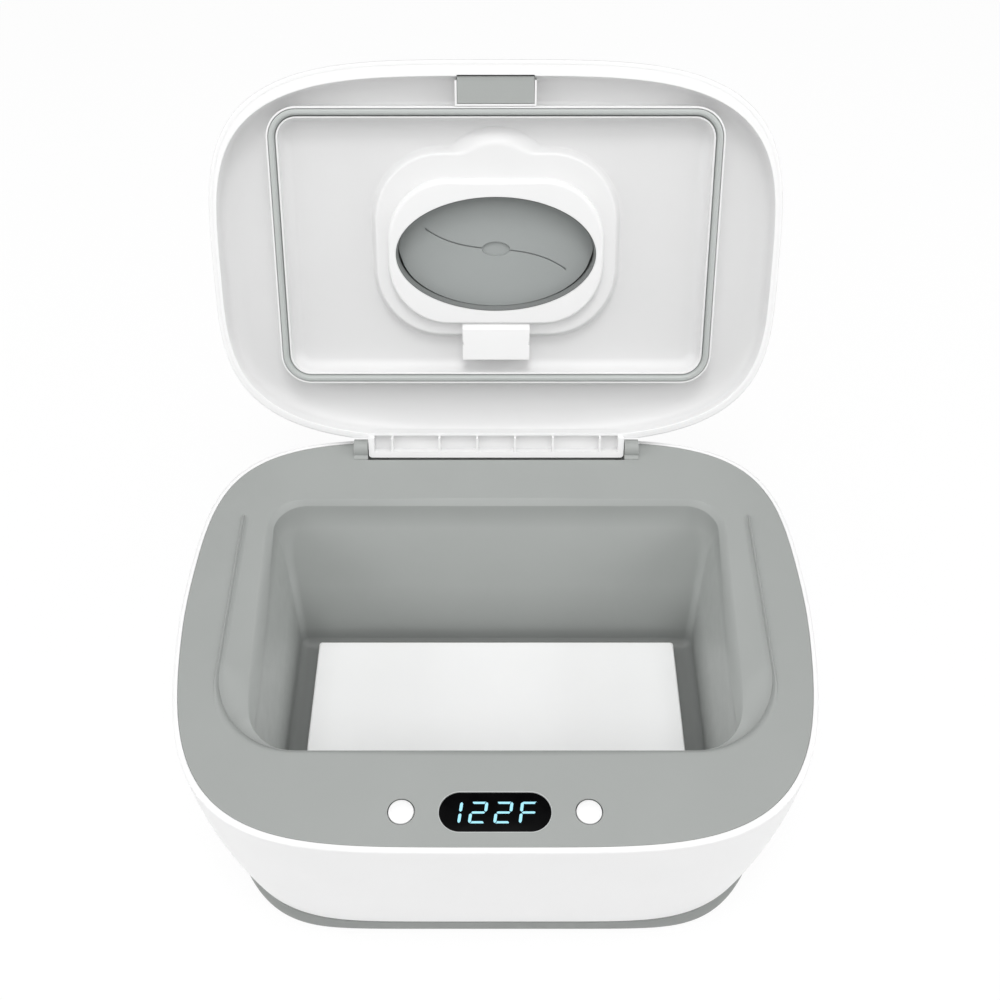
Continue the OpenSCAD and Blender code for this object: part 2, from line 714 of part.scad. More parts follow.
jack_lead_x = 33;
module jack_leads() color([0.1, 0.1, 0.1])
    for (s = [-1, 1])
        wire([[s * 2, jack_y - jack_l - 0.05, jack_h], [s * 2, jack_y - jack_l - 6, jack_h],
              [s * 8, jack_y - jack_l - 9, jack_h - 4],
              [s * (well_w / 2 - 14), well_back - 6, seam_z + 9],
              [s * (well_w / 2 + 4), well_back - 26, seam_z + 7],
              [s * (well_w / 2 + 4), -well_front + 14, seam_z + 7],
              [s * (well_w / 2 - 20), -well_front - 8, seam_z + 10],
              [s * (jack_lead_x + 4), board_y + 4, 0.65 * seam_z],
              [s * jack_lead_x, board_y, board_bottom - 12],
              [s * jack_lead_x, board_y, board_bottom - 0.05]], lead_r, [s, 1, 1]);

module hinge_pins() color([0.7, 0.7, 0.72]) both_sides()
    rod_x(block_w / 2 - block_wall + 0.2, notch_half + ear_w - 1.2, hinge_y, hinge_z, pin_r);

// ---------- lid, drawn closed and swung open about the hinge ----------

function lid_ring(inset, z, front = 0) =
    squircle(lid_w / 2 - inset, lid_front - inset - front, lid_back - inset,
             lid_front_square, lid_back_square, lid_y, z);

// How far the lid's wall has drawn in at share k of its height
function lid_inset(k) = 3 * k + 30 * pow(k, 6);
lid_levels = [0, 0.08, 0.25, 0.45, 0.62, 0.75, 0.86, 0.94, 1];
function lid_z(k) = lid_gap + (lid_h - lid_gap) * k;
function lid_skin(k) = lid_ring(lid_inset(k) + (k == 0 ? 0.5 : 0), lid_z(k));

module on_lid() {
    translate([0, hinge_y, hinge_z]) rotate([-lid_open, 0, 0]) translate([0, -hinge_y, -hinge_z]) children();
}

pocket_z = lid_h - pocket_d;
flap_y = pocket_back - 3.2;
bay_r = (pow(bay_w / 2, 2) + pow(bay_l, 2)) / (2 * bay_l);

// Rounded square with a finger bay at its front
module bay_shape(w, front, back, grow) {
    r = pocket_r + grow;
    polygon(flat(rounded(w / 2 + grow, w / 2 + grow, back + grow, -front - grow, r, r, 0)));
    translate([0, -front - bay_l + bay_r]) circle(r = bay_r + grow, $fn = 96);
}
module pocket_shape(grow) bay_shape(pocket_w, pocket_front, pocket_back, grow);

// Oval bar, grown at its sides by grow and at its two ends by ends
module oval_bar(grow, ends, z, h) {
    a = oval_l / 2 + ends;
    b = oval_w / 2 + grow;
    translate([0, 0, z]) linear_extrude(h)
        polygon([for (i = [0 : 63]) let (t = 360 * i / 64) [a * cos(t), b * sin(t) - oval_y]]);
}

// Room for the deck's ears where they pass the lid's back edge
module ear_relief() {
    both_sides() rod_x(notch_half - clear - fit, notch_half + ear_w + clear, hinge_y, hinge_z, ear_r + 0.7 + clear);
}

module hinge_block_room() {
    translate([-block_w / 2 - fit, hinge_y - block_front - 4, -5]) cube([block_w + 2 * fit, 20, 5 + hinge_z + block_rise + fit]);
}

lug_x = 12.3;
lug_w = 2.6;
flap_z = lid_h - 2.4;
knuckle_r = 2;

module lid_outer_shell() color(white) on_lid() difference() {
    union() {
        difference() {
            loft([for (k = lid_levels) lid_skin(k)]);
            loft([lid_ring(lid_wall + lid_inset(0), lid_gap - 1), for (k = [0, 0.25, 0.45, 0.62, 0.75])
                      lid_ring(lid_inset(k) + lid_wall, lid_z(k)),
                  lid_ring(lid_inset(0.84) + lid_wall, lid_z(0.84)),
                  lid_ring(lid_inset(0.92) + lid_wall + 2, lid_h - lid_wall)]);
        }
        translate([0, 0, pocket_z - 2]) linear_extrude(pocket_d + 1) pocket_shape(2);
    }
    translate([0, 0, pocket_z]) difference() {
        linear_extrude(10) pocket_shape(0);
        both_sides() {
            rod_x(lug_x, lug_x + lug_w, flap_y, flap_z - pocket_z, knuckle_r);
            translate([lug_x, flap_y - knuckle_r, -1]) cube([lug_w, 2 * knuckle_r, 1 + flap_z - pocket_z]);
        }
    }
    oval_bar(0, 0, 0, lid_h);
    ear_relief();
    hinge_block_room();
    both_sides() rod_x(lug_x - 1, lug_x + lug_w + 1, flap_y, flap_z, 0.9 + pin_gap);
}

// Seal ring outlines, offset inwards by g
function seal_path(g, z) =
    let (r = max(1, ring_r - g)) rounded(ring_w / 2 - g, ring_w / 2 - g, ring_back - g, -ring_front + g, r, r, z);

module ring_wall(outer, inner, z, h) {
    translate([0, 0, z]) linear_extrude(h) difference() {
        polygon(flat(seal_path(outer, 0)));
        polygon(flat(seal_path(inner, 0)));
    }
}

rib = 0.8;
ring_z = 1.4;
ring_t = 2 * rib + seal_w + 2 * fit;    // both ribs with the seal's groove between them
cove_r = 5;                         // round inside the ring, up to the lid's inner ceiling
panel_t = 1.6;
panel_top = dish_z + panel_t;
seat_z = pocket_z - 2 - 2.1;        // where the insert's flange lies on the panel
membrane_z = frame_z + membrane_d;
tube_t = 2.4;                       // wall round the oval opening
grip_l = 29.6;
grip_w = 10;
grip_y = -lid_front + lid_y + lip_w + lip_front;
rib_x = block_w / 2 * [0.148, 0.444, 0.813];
box_half = 13.7;
box_front = frame_l / 2 - frame_y - 0.4;
box_l = 15.4;
box_z = 0.6;
box_bevel = 2.5;

module panel_dish() {
    difference() {
        loft([for (z = [lid_gap + 0.2, 4, 8, panel_top])
                  lid_ring(lid_inset((z - lid_gap) / (lid_h - lid_gap)) + lid_wall + fit, z)]);
        loft([lid_ring(lip_w, 0, lip_front), lid_ring(lip_w, lid_gap + 0.3, lip_front),
              lid_ring(lip_w + 1.1, lid_gap + 4.5, lip_front),
              lid_ring(lip_w + 3, dish_z - 2.2, lip_front), lid_ring(lip_w + 7, dish_z - 0.7, lip_front),
              lid_ring(lip_w + 13, dish_z, lip_front)]);
    }
}

// Ribbed hinge block, its end walls bored for the pins
module hinge_block() {
    pocket_y = hinge_y - block_front + 0.6;
    pocket_l = block_front + block_back - 3;
    difference() {
        translate([-block_w / 2, hinge_y, hinge_z]) rotate([90, 0, 90]) linear_extrude(block_w)
            polygon([[-block_front - block_arm, 1.2], [-block_front, 1.2], [-block_front, -block_drop],
                     [block_back, -block_drop], [block_back, block_rise - block_bevel],
                     [block_back - block_bevel, block_rise], [-block_front - block_arm, block_rise]]);
        translate([0, pocket_y, hinge_z - block_drop - 1]) difference() {
            translate([block_wall - block_w / 2, 0, 0]) cube([block_w - 2 * block_wall, pocket_l, block_drop + 2.6]);
            for (s = [-1, 1], x = rib_x) translate([s * x - rib / 2, -1, -1])
                cube([rib, pocket_l + 2, block_drop + 5]);
        }
        both_sides() rod_x(block_w / 2 - block_wall - 1, block_w / 2 + 1, hinge_y, hinge_z, pin_r + pin_gap);
    }
}

// Room inside the ring, with a cove up to the ceiling
module ring_cove() {
    loft(concat([seal_path(ring_t, ring_z - 1)],
                [for (t = [0 : 22.5 : 90])
                    seal_path(ring_t + cove_r * (1 - cos(t)), dish_z - cove_r * (1 - sin(t)))]));
}

// Boss on the ceiling, its sides drawn in towards its face
function boss_ring(g, z) =
    rounded(boss_w / 2 - g, boss_w / 2 - g, boss_back - g, -boss_front + g, pocket_r - g, pocket_r - g, z);

module boss() {
    flare = boss_draft / boss_h;
    loft([boss_ring(boss_draft, dish_z - boss_h), boss_ring(-flare, dish_z + 1)]);
    translate([0, bay_r - boss_front - bay_l, dish_z - boss_h])
        cylinder(r1 = bay_r - boss_draft, r2 = bay_r + flare, h = boss_h + 1, $fn = 96);
}

function frame_ring(g, z) =
    rounded(frame_w / 2 - g, frame_w / 2 - g, frame_l / 2 - frame_y - g, -frame_l / 2 - frame_y + g,
            frame_r - g, frame_r - g, z);

module frame() {
    loft(concat([for (t = [0 : 22.5 : 90])
                    frame_ring(frame_round * (1 - sin(t)), frame_z + frame_round * (1 - cos(t)))],
                [frame_ring(0, dish_z)]));
}

module lid_inner_panel() color(white) on_lid() difference() {
    union() {
        difference() {
            union() {
                difference() {
                    union() {
                        panel_dish();
                        translate([0, 0, ring_z]) linear_extrude(panel_top - ring_z)
                            polygon(flat(seal_path(0, 0)));
                    }
                    ring_cove();
                }
                boss();
                frame();
            }
            translate([0, 0, dish_z - boss_h + panel_t]) linear_extrude(boss_h + panel_t)
                bay_shape(boss_w, boss_front, boss_back, -boss_draft - panel_t);
            translate([0, 0, frame_z + panel_t]) linear_extrude(dish_z)
                polygon(flat(frame_ring(frame_round + 0.6, 0)));
        }
        oval_bar(tube_t, tube_t, frame_z + 0.6, seat_z - frame_z - 0.6);
        translate([-box_half, 0, 0]) rotate([90, 0, 90]) linear_extrude(2 * box_half)
            polygon([[box_front, dish_z + 1], [box_front, box_z + box_bevel], [box_front + box_bevel, box_z],
                     [box_front + box_l, box_z], [box_front + box_l, dish_z + 1]]);
        translate([-grip_l / 2 - rib, grip_y - fit, ring_z]) cube([grip_l + 2 * rib, grip_w + rib, dish_z - ring_z + 1]);
        hinge_block();
    }
    ring_wall(rib, rib + seal_w + 2 * fit, 0, dish_z);
    oval_bar(0, 0, 0, lid_h);
    translate([panel_t - box_half, box_front + box_bevel, box_z + panel_t])
        cube([2 * (box_half - panel_t), box_l - box_bevel - panel_t, dish_z + 1]);
    translate([-grip_l / 2, grip_y - 2, -1]) cube([grip_l, grip_w + 2 - fit, 6]);
    ear_relief();
}

module lid_seal() color([0.78, 0.82, 0.8]) on_lid() {
    ring_wall(rib + fit, rib + fit + seal_w, ring_z - 0.2, dish_z - ring_z + 0.1);
    ring_wall(rib + fit + 0.5, rib + fit + seal_w - 0.5, seal_gap, ring_z - seal_gap);
}

module lid_grip_insert() color(grey) on_lid()
    translate([-grip_l / 2 + fit, grip_y - 2 + fit, ring_z + 0.6])
        cube([grip_l - 2 * fit, grip_w + 2 - 3 * fit, 5 - ring_z - 0.6 - fit]);

// Point on the slit's S curve
slit_y = -oval_y - 1.1;
function slit(x) = [x, 0.075 * x + 0.00026 * pow(x, 3) + slit_y];
slit_end = oval_l * 0.35;
slit_start = 6;

module dispenser_insert() color(silicone) on_lid() difference() {
    union() {
        oval_bar(-fit, -oval_side_gap, frame_z + 0.6, seat_z - frame_z - 0.6 + eps);
        oval_bar(1.6, 1.6, seat_z, 2);
    }
    for (z = [membrane_z - membrane_d, membrane_z + membrane_t])
        oval_bar(-fit - 1.3, -oval_side_gap - 1.3, z, z < membrane_z ? membrane_d : lid_h);
    for (s = [-1, 1]) translate([0, 0, membrane_z - 1]) linear_extrude(membrane_t + 2)
        polygon(concat([for (k = [0 : 6]) slit(s * (slit_start + (slit_end - slit_start) * k / 6)) + [0, slit_w / 2]],
                       [for (k = [5.7 : -1 : 0]) slit(s * (slit_start + (slit_end - slit_start) * k / 6)) - [0, slit_w / 2]]));
    translate([0, slit_y, membrane_z - 1]) linear_extrude(1.5)
        polygon([for (i = [0 : 31]) [6.2 * cos(i * 11.25), 3.2 * sin(i * 11.25)]]);
}

module flap_hinge_pin() color([0.75, 0.75, 0.77]) on_lid()
    rod_x(-lug_x - lug_w + 0.2, lug_x + lug_w - 0.2, flap_y, flap_z, 0.9);

flap_top = lid_h - 0.4;
flap_seat = pocket_z + clear;
flap_back = 2.8;        // room behind the flap, into which its top edge swings

flap_corner = pocket_r + 8;
module flap_outline() {
    half = pocket_w / 2 - flap_gap;
    intersection() {
        pocket_shape(-flap_gap);
        polygon(flat(rounded(half, half, pocket_back - flap_gap - flap_back, -pocket_front - bay_l,
                             flap_corner, 1, 0)));
    }
}

module dispenser_flap() color(white) on_lid() difference() {
    union() {
        translate([0, 0, flap_top - flap_t]) linear_extrude(flap_t) flap_outline();
        translate([0, 0, flap_seat]) linear_extrude(flap_top - flap_seat - 1) difference() {
            pocket_shape(-flap_gap - 1);
            pocket_shape(-flap_gap - 2.6);
            translate([-pocket_w, flap_y - 3]) square(2 * pocket_w);
        }
        rod_x(-lug_x + clear, lug_x - clear, flap_y, flap_z, knuckle_r);
    }
    rod_x(-lug_x, lug_x, flap_y, flap_z, 0.9 + pin_gap);
    both_sides() translate([lug_x - clear, flap_y - knuckle_r - clear - 0.6, flap_seat - 1])
        cube([lug_w + 2 * clear, 2 * knuckle_r + 4, 10]);
}

module flap_seal() color([0.8, 0.82, 0.81]) on_lid() difference() {
    oval_bar(3.4, 3.4, flap_seat, flap_top - flap_t - flap_seat);
    oval_bar(1.6, 1.6, flap_seat - 1, pocket_d);
}

// ---------- placing ----------

function swing_y(p) = hinge_y + cos(lid_open) * (p[1] - hinge_y) + sin(lid_open) * (p[2] - hinge_z);
lid_reach = max([for (k = lid_levels, p = lid_skin(k)) swing_y(p)]);
mid_y = (lid_reach - body_front) / 2;

translate([0, -mid_y, -ground_z]) {
    outer_housing();
    base_cover();
    tub_deck();
    moisture_pad();
    heater_plate();
    heater_film();
    heater_screws();
    insulation_board();
    thermal_fuse();
    thermistor();
    heater_leads();
    control_board();
    display_module();
    display_window();
    tact_switches();
    board_screws();
    left_button();
    right_button();
    dc_jack();
    jack_nut();
    jack_leads();
    rubber_feet();
    base_screws();
    hinge_pins();
    lid_outer_shell();
    lid_inner_panel();
    lid_seal();
    lid_grip_insert();
    dispenser_insert();
    flap_hinge_pin();
    dispenser_flap();
    flap_seal();
}
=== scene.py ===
import math

import bmesh
import bpy
import numpy as np
from mathutils import Matrix, Vector


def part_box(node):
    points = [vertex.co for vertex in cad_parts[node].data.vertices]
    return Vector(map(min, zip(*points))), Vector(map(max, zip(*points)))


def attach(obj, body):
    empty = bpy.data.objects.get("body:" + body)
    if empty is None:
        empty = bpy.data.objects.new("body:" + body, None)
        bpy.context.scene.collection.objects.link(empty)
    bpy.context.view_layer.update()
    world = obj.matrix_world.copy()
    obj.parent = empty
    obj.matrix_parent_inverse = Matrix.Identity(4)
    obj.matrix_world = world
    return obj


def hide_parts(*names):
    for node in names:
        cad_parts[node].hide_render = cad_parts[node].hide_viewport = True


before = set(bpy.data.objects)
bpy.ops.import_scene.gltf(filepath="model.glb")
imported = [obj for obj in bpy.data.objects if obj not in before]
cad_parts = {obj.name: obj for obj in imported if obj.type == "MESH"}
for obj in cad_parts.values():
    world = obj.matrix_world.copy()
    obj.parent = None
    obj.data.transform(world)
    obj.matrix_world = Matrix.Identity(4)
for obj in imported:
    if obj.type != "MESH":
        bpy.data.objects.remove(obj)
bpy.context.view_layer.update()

# Everything below is drawn in millimetres, with z = 0 on the deck and y = 0 on the body's
# widest line. The lid is drawn closed. PLACE_BODY and PLACE_LID carry it into the frame.
MM = 0.001
BODY_FRONT = 100.3
HOUSING_LOW, HOUSING_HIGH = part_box("outer_housing")
ORIGIN = Vector((0, HOUSING_LOW.y + BODY_FRONT * MM, HOUSING_HIGH.z))
HINGE_Y, HINGE_Z, LID_OPEN = 78.0, 0.8, 118.0
PLACE_BODY = Matrix.Translation(ORIGIN) @ Matrix.Scale(MM, 4)
PLACE_LID = (PLACE_BODY @ Matrix.Translation((0, HINGE_Y, HINGE_Z))
             @ Matrix.Rotation(math.radians(-LID_OPEN), 4, "X")
             @ Matrix.Translation((0, -HINGE_Y, -HINGE_Z)))
TURN = 2 * math.pi


# ---------- outlines: closed loops of points in the plane ----------

def dense(loop, step=0.4):
    """The same closed loop with its long edges cut into short ones."""
    points = []
    for a, b in zip(loop, np.roll(loop, -1, axis=0)):
        n = max(1, int(np.hypot(*(b - a)) / step))
        points.append(a + (b - a) * (np.arange(n) / n)[:, None])
    return np.concatenate(points)


def squircle(a, f, b, nf, nb, cy):
    """Superellipse with its own reach and squareness in front of and behind its widest line."""
    t = np.linspace(0, TURN, 2880, endpoint=False)
    c, s = np.cos(t), np.sin(t)
    n, r = np.where(s < 0, nf, nb), np.where(s < 0, f, b)
    x = a * np.sign(c) * np.abs(c) ** (2 / n)
    y = cy + r * np.sign(s) * np.abs(s) ** (2 / n)
    return dense(np.stack([x, y], 1))


def corners(xb, xf, yb, yf, rb, rf, steps=40, sides=0):
    """Rounded four-sided loop, with the same count of points whatever its size."""
    loop = []
    arcs = [(xb - rb, yb - rb, rb, 0), (rb - xb, yb - rb, rb, 90),
            (rf - xf, yf + rf, rf, 180), (xf - rf, yf + rf, rf, 270)]
    for i, (x, y, r, start) in enumerate(arcs):
        t = np.radians(start + 90 * np.arange(steps + 1) / steps)
        loop.append(np.stack([x + r * np.cos(t), y + r * np.sin(t)], 1))
        if sides:
            x2, y2, r2, start2 = arcs[(i + 1) % 4]
            u = math.radians(start2)
            a, b = loop[-1][-1], np.array([x2 + r2 * math.cos(u), y2 + r2 * math.sin(u)])
            loop.append(a + (b - a) * (np.arange(1, sides) / sides)[:, None])
    return np.concatenate(loop)


def rounded(xb, xf, yb, yf, rb, rf):
    return dense(corners(xb, xf, yb, yf, rb, rf))


def ellipse(a, b, cy, n=720):
    t = np.linspace(0, TURN, n, endpoint=False)
    return np.stack([a * np.cos(t), cy + b * np.sin(t)], 1)


def circle(x, y, r, n=64):
    t = np.linspace(0, TURN, n, endpoint=False)
    return np.stack([x + r * np.cos(t), y + r * np.sin(t)], 1)


def pill(l, w, y, n=32):
    t = np.radians(np.linspace(-90, 90, n))
    end = np.stack([(l - w) / 2 + w / 2 * np.cos(t), w / 2 * np.sin(t)], 1)
    return np.concatenate([end, -end]) + np.array([0, y])


class Rays:
    """Fixed directions from one centre, along which loops are matched point for point."""

    def __init__(self, centre, angles=None, n=720):
        self.centre = np.array(centre, float)
        self.angles = np.linspace(0, TURN, n, endpoint=False) if angles is None else angles
        self.out = np.stack([np.cos(self.angles), np.sin(self.angles)], 1)

    def reach(self, loop):
        d = loop - self.centre
        a, r = np.arctan2(d[:, 1], d[:, 0]) % TURN, np.hypot(d[:, 0], d[:, 1])
        order = np.argsort(a)
        return np.interp(self.angles % TURN, a[order], r[order], period=TURN)

    def at(self, reach):
        return self.centre + self.out * np.reshape(reach, (-1, 1))

    def ring(self, loop, z):
        return lift(self.at(self.reach(loop)), z)


def lift(loop, z):
    return np.concatenate([loop, np.broadcast_to(np.reshape(z, (-1, 1)), (len(loop), 1))], 1)


def smooth(k):
    k = np.clip(k, 0, 1)
    return k * k * (3 - 2 * k)


def arc(start, end, n):
    """(share across, share along) pairs of a quarter turn; used for rounds between two levels."""
    t = np.linspace(start, end, n)
    return [(math.sin(v), 1 - math.cos(v)) for v in t]


def curve(p0, p1, p2, p3, n):
    """Rings of a cubic curve between two rings, without its two ends."""
    return [(1 - t) ** 3 * p0 + 3 * t * (1 - t) ** 2 * p1 + 3 * t * t * (1 - t) * p2 + t ** 3 * p3
            for t in np.arange(1, n) / n]


# ---------- meshes ----------

def mesh_object(name, points, faces):
    mesh = bpy.data.meshes.new(name)
    mesh.from_pydata([tuple(p) for p in points], [], faces)
    mesh.validate()
    obj = bpy.data.objects.new(name, mesh)
    bpy.context.scene.collection.objects.link(obj)
    return obj


def outward(obj):
    """Turns the faces of a closed mesh so that they look outwards."""
    bm = bmesh.new()
    bm.from_mesh(obj.data)
    if bm.calc_volume(signed=True) < 0:
        bmesh.ops.reverse_faces(bm, faces=bm.faces)
    bm.to_mesh(obj.data)
    bm.free()
    return obj


def loft(name, rings, wrap=False):
    """Closed skin through rings of equal count: capped at both ends, or joined end to end."""
    n, m = len(rings[0]), len(rings)
    faces = []
    for j in range(m if wrap else m - 1):
        a, b = j * n, (j + 1) % m * n
        faces += [(a + i, a + (i + 1) % n, b + (i + 1) % n, b + i) for i in range(n)]
    points = np.concatenate(rings)
    if not wrap:
        for j, flip in ((0, True), (m - 1, False)):
            hub = len(points)
            points = np.concatenate([points, rings[j].mean(0)[None]])
            for i in range(n):
                face = (j * n + i, j * n + (i + 1) % n, hub)
                faces.append(face[::-1] if flip else face)
    return outward(mesh_object(name, points, faces))


def prism(loop, z0, z1, name="cut"):
    """Straight bar over any simple outline."""
    n = len(loop)
    points = np.concatenate([lift(loop, z0), lift(loop, z1)])
    faces = [(i, (i + 1) % n, n + (i + 1) % n, n + i) for i in range(n)]
    faces += [tuple(range(n))[::-1], tuple(range(n, 2 * n))]
    return outward(mesh_object(name, points, faces))


ALONG_X = Matrix(((0, 0, 1, 0), (1, 0, 0, 0), (0, 1, 0, 0), (0, 0, 0, 1)))
ALONG_Y = Matrix(((1, 0, 0, 0), (0, 0, 1, 0), (0, 1, 0, 0), (0, 0, 0, 1)))


def rod(x0, x1, y, z, r, n=96):
    """Round bar along x."""
    obj = prism(circle(0, 0, r, n), x0, x1)
    obj.data.transform(Matrix.Translation((0, y, z)) @ ALONG_X)
    return outward(obj)


def rod_y(x, y0, y1, z, r, n=96):
    """Round bar along y."""
    obj = prism(circle(0, 0, r, n), y0, y1)
    obj.data.transform(Matrix.Translation((x, 0, z)) @ ALONG_Y)
    return outward(obj)


def upright(profile, x0, x1, y):
    """Bar along x over an outline given as (z, y), moved to a place along y."""
    obj = prism(profile, x0, x1)
    obj.data.transform(Matrix(((0, 0, 1, 0), (0, 1, 0, y), (1, 0, 0, 0), (0, 0, 0, 1))))
    return outward(obj)


def block(x0, x1, y0, y1, z0, z1, r=0.0, name="cut"):
    """Box with its edges rounded to r."""
    bm = bmesh.new()
    bmesh.ops.create_cube(bm, size=1)
    for v in bm.verts:
        v.co = Vector(((x0 + x1) / 2 + v.co.x * (x1 - x0), (y0 + y1) / 2 + v.co.y * (y1 - y0),
                       (z0 + z1) / 2 + v.co.z * (z1 - z0)))
    if r:
        bmesh.ops.bevel(bm, geom=bm.edges[:], offset=r, segments=3, profile=0.5, affect="EDGES")
    mesh = bpy.data.meshes.new(name)
    bm.to_mesh(mesh)
    bm.free()
    obj = bpy.data.objects.new(name, mesh)
    bpy.context.scene.collection.objects.link(obj)
    return outward(obj)


def combine(obj, others, how="DIFFERENCE"):
    """Cuts the others out of obj, or joins them to it as one closed skin."""
    for other in others:
        mod = obj.modifiers.new("combine", "BOOLEAN")
        mod.operation, mod.solver, mod.object = how, "MANIFOLD", other
        with bpy.context.temp_override(object=obj, active_object=obj):
            bpy.ops.object.modifier_apply(modifier=mod.name)
        bpy.data.objects.remove(other)
    return obj


def together(obj, others):
    """Makes one object of several loose closed parts."""
    bm = bmesh.new()
    for o in [obj] + others:
        bm.from_mesh(o.data)
    bm.to_mesh(obj.data)
    bm.free()
    for o in others:
        bpy.data.objects.remove(o)
    return obj


def dress(obj, place, body, material, nodes=(), sharp=32):
    """Places a finished piece, shades it and hides the parts that it stands for."""
    obj.data.transform(place)
    obj.data.materials.clear()
    obj.data.materials.append(material)
    bm = bmesh.new()
    bm.from_mesh(obj.data)
    bmesh.ops.remove_doubles(bm, verts=bm.verts, dist=2e-7)
    bmesh.ops.dissolve_degenerate(bm, edges=bm.edges, dist=1e-7)
    bm.to_mesh(obj.data)
    bm.free()
    obj.data.shade_smooth()
    obj.data.set_sharp_from_angle(angle=math.radians(sharp))
    mod = obj.modifiers.new("normals", "WEIGHTED_NORMAL")
    mod.keep_sharp, mod.weight = True, 60
    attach(obj, body)
    if nodes:
        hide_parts(*nodes)
    return obj


# ---------- materials ----------

def srgb(r, g, b):
    return tuple(((v / 255 + 0.055) / 1.055) ** 2.4 if v > 10 else v / 255 / 12.92 for v in (r, g, b)) + (1,)


BUMP_DEPTH = 0.05       # millimetres


def plastic(name, colour, rough=0.4, specular=0.5, grain=0.02, grain_size=0.25, mottle=0.03, rough_var=0.06,
            metallic=0.0, sheen=0.0, painted_light_by_depth=None):
    """Moulded surface: fine grain in the bump, slow drifts of colour and roughness.

    The last argument holds a direction, a datum along it and stops of (millimetres past the datum, share of the
    colour kept): painted shade where the share is below one and painted light where it is above one, changing with
    depth.
    """
    mat = bpy.data.materials.new(name)
    mat.use_nodes = True
    tree = mat.node_tree
    shader = tree.nodes["Principled BSDF"]
    add, link = tree.nodes.new, tree.links.new
    where = add("ShaderNodeTexCoord")

    def noise(size_mm, detail):
        node = add("ShaderNodeTexNoise")
        node.inputs["Scale"].default_value = 1 / (size_mm * MM)
        node.inputs["Detail"].default_value = detail
        link(where.outputs["Object"], node.inputs["Vector"])
        return node

    def between(source, low, high):
        node = add("ShaderNodeMapRange")
        node.inputs["From Min"].default_value, node.inputs["From Max"].default_value = 0.3, 0.7
        node.inputs["To Min"].default_value, node.inputs["To Max"].default_value = low, high
        link(source.outputs["Fac"], node.inputs["Value"])
        return node

    slow, fine = noise(26, 3), noise(grain_size, 2)
    tint = add("ShaderNodeMix")
    tint.data_type = "RGBA"
    tint.inputs["A"].default_value = tuple(c * (1 - mottle) for c in colour[:3]) + (1,)
    tint.inputs["B"].default_value = tuple(min(1, c * (1 + mottle)) for c in colour[:3]) + (1,)
    link(between(slow, 0, 1).outputs["Result"], tint.inputs["Factor"])
    # Painted shade and light: the colour is scaled by a ramp over depth along the given direction.
    if painted_light_by_depth:
        direction, datum, stops = painted_light_by_depth
        along, fade, scale = add("ShaderNodeVectorMath"), add("ShaderNodeMapRange"), add("ShaderNodeVectorMath")
        along.operation, scale.operation = "DOT_PRODUCT", "MULTIPLY"
        along.inputs[1].default_value = direction
        fade.inputs["From Min"].default_value = datum + stops[0][0] * MM
        fade.inputs["From Max"].default_value = datum + stops[-1][0] * MM
        ramp = add("ShaderNodeValToRGB")
        depth = stops[-1][0] - stops[0][0]
        for i, (distance, kept) in enumerate(stops):
            last = i == len(stops) - 1
            stop = ramp.color_ramp.elements[0 if i == 0 else -1] if i == 0 or last else None
            stop = stop or ramp.color_ramp.elements.new((distance - stops[0][0]) / depth)
            stop.color = (kept, kept, kept, 1)
        link(where.outputs["Object"], along.inputs[0])
        link(along.outputs["Value"], fade.inputs["Value"])
        link(fade.outputs["Result"], ramp.inputs["Fac"])
        link(tint.outputs["Result"], scale.inputs[0])
        link(ramp.outputs["Color"], scale.inputs[1])
        link(scale.outputs["Vector"], shader.inputs["Base Color"])
    else:
        link(tint.outputs["Result"], shader.inputs["Base Color"])
    link(between(noise(6, 3), rough - rough_var, rough + rough_var).outputs["Result"], shader.inputs["Roughness"])
    bump = add("ShaderNodeBump")
    bump.inputs["Strength"].default_value = grain
    bump.inputs["Distance"].default_value = BUMP_DEPTH * MM
    link(fine.outputs["Fac"], bump.inputs["Height"])
    link(bump.outputs["Normal"], shader.inputs["Normal"])
    shader.inputs["Specular IOR Level"].default_value = specular
    shader.inputs["Metallic"].default_value = metallic
    shader.inputs["Sheen Weight"].default_value = sheen
    return mat


WHITE = plastic("white_gloss", srgb(244, 244, 244), 0.4, 0.4, 0.08, 0.5, 0.006, rough_var=0.02)
# The lid's white is a shade darker than the housing's white: painted shade on the lid.
LID_WHITE = plastic("white_satin_painted_shade", srgb(239, 239, 239), 0.42, 0.4, 0.10, 0.5, 0.006)
INTO_LID = PLACE_LID.to_3x3().normalized().col[2].copy()
LID_DATUM = INTO_LID.dot(PLACE_LID.translation)
# The lining is painted darker the deeper it lies in the lid: painted shade in the dish.
LINING = plastic("white_lining", srgb(243, 243, 243), 0.42, 0.4, 0.16, 0.5, 0.006,
                 painted_light_by_depth=(INTO_LID, LID_DATUM, [(0.4, 1.0), (1.3, 0.92), (4.6, 0.88), (6, 0.84), (9, 0.8)]))
UP, DATUM = Vector((0, 0, -1)), -HOUSING_HIGH.z
# The deck's grey is painted lighter down the well's walls (painted light) and darker near the well's floor
# (painted shade).
GREY = plastic("grey_satin", srgb(160, 163, 161), 0.48, 0.4, 0.16, 0.35, 0.012,
               painted_light_by_depth=(UP, DATUM, [(0, 1.0), (4, 1.03), (12, 1.28), (40, 1.22), (62, 0.92), (70, 0.6)]))
GREY_PLAIN = plastic("grey_plain", srgb(164, 167, 165), 0.48, 0.4, 0.16, 0.35, 0.012)
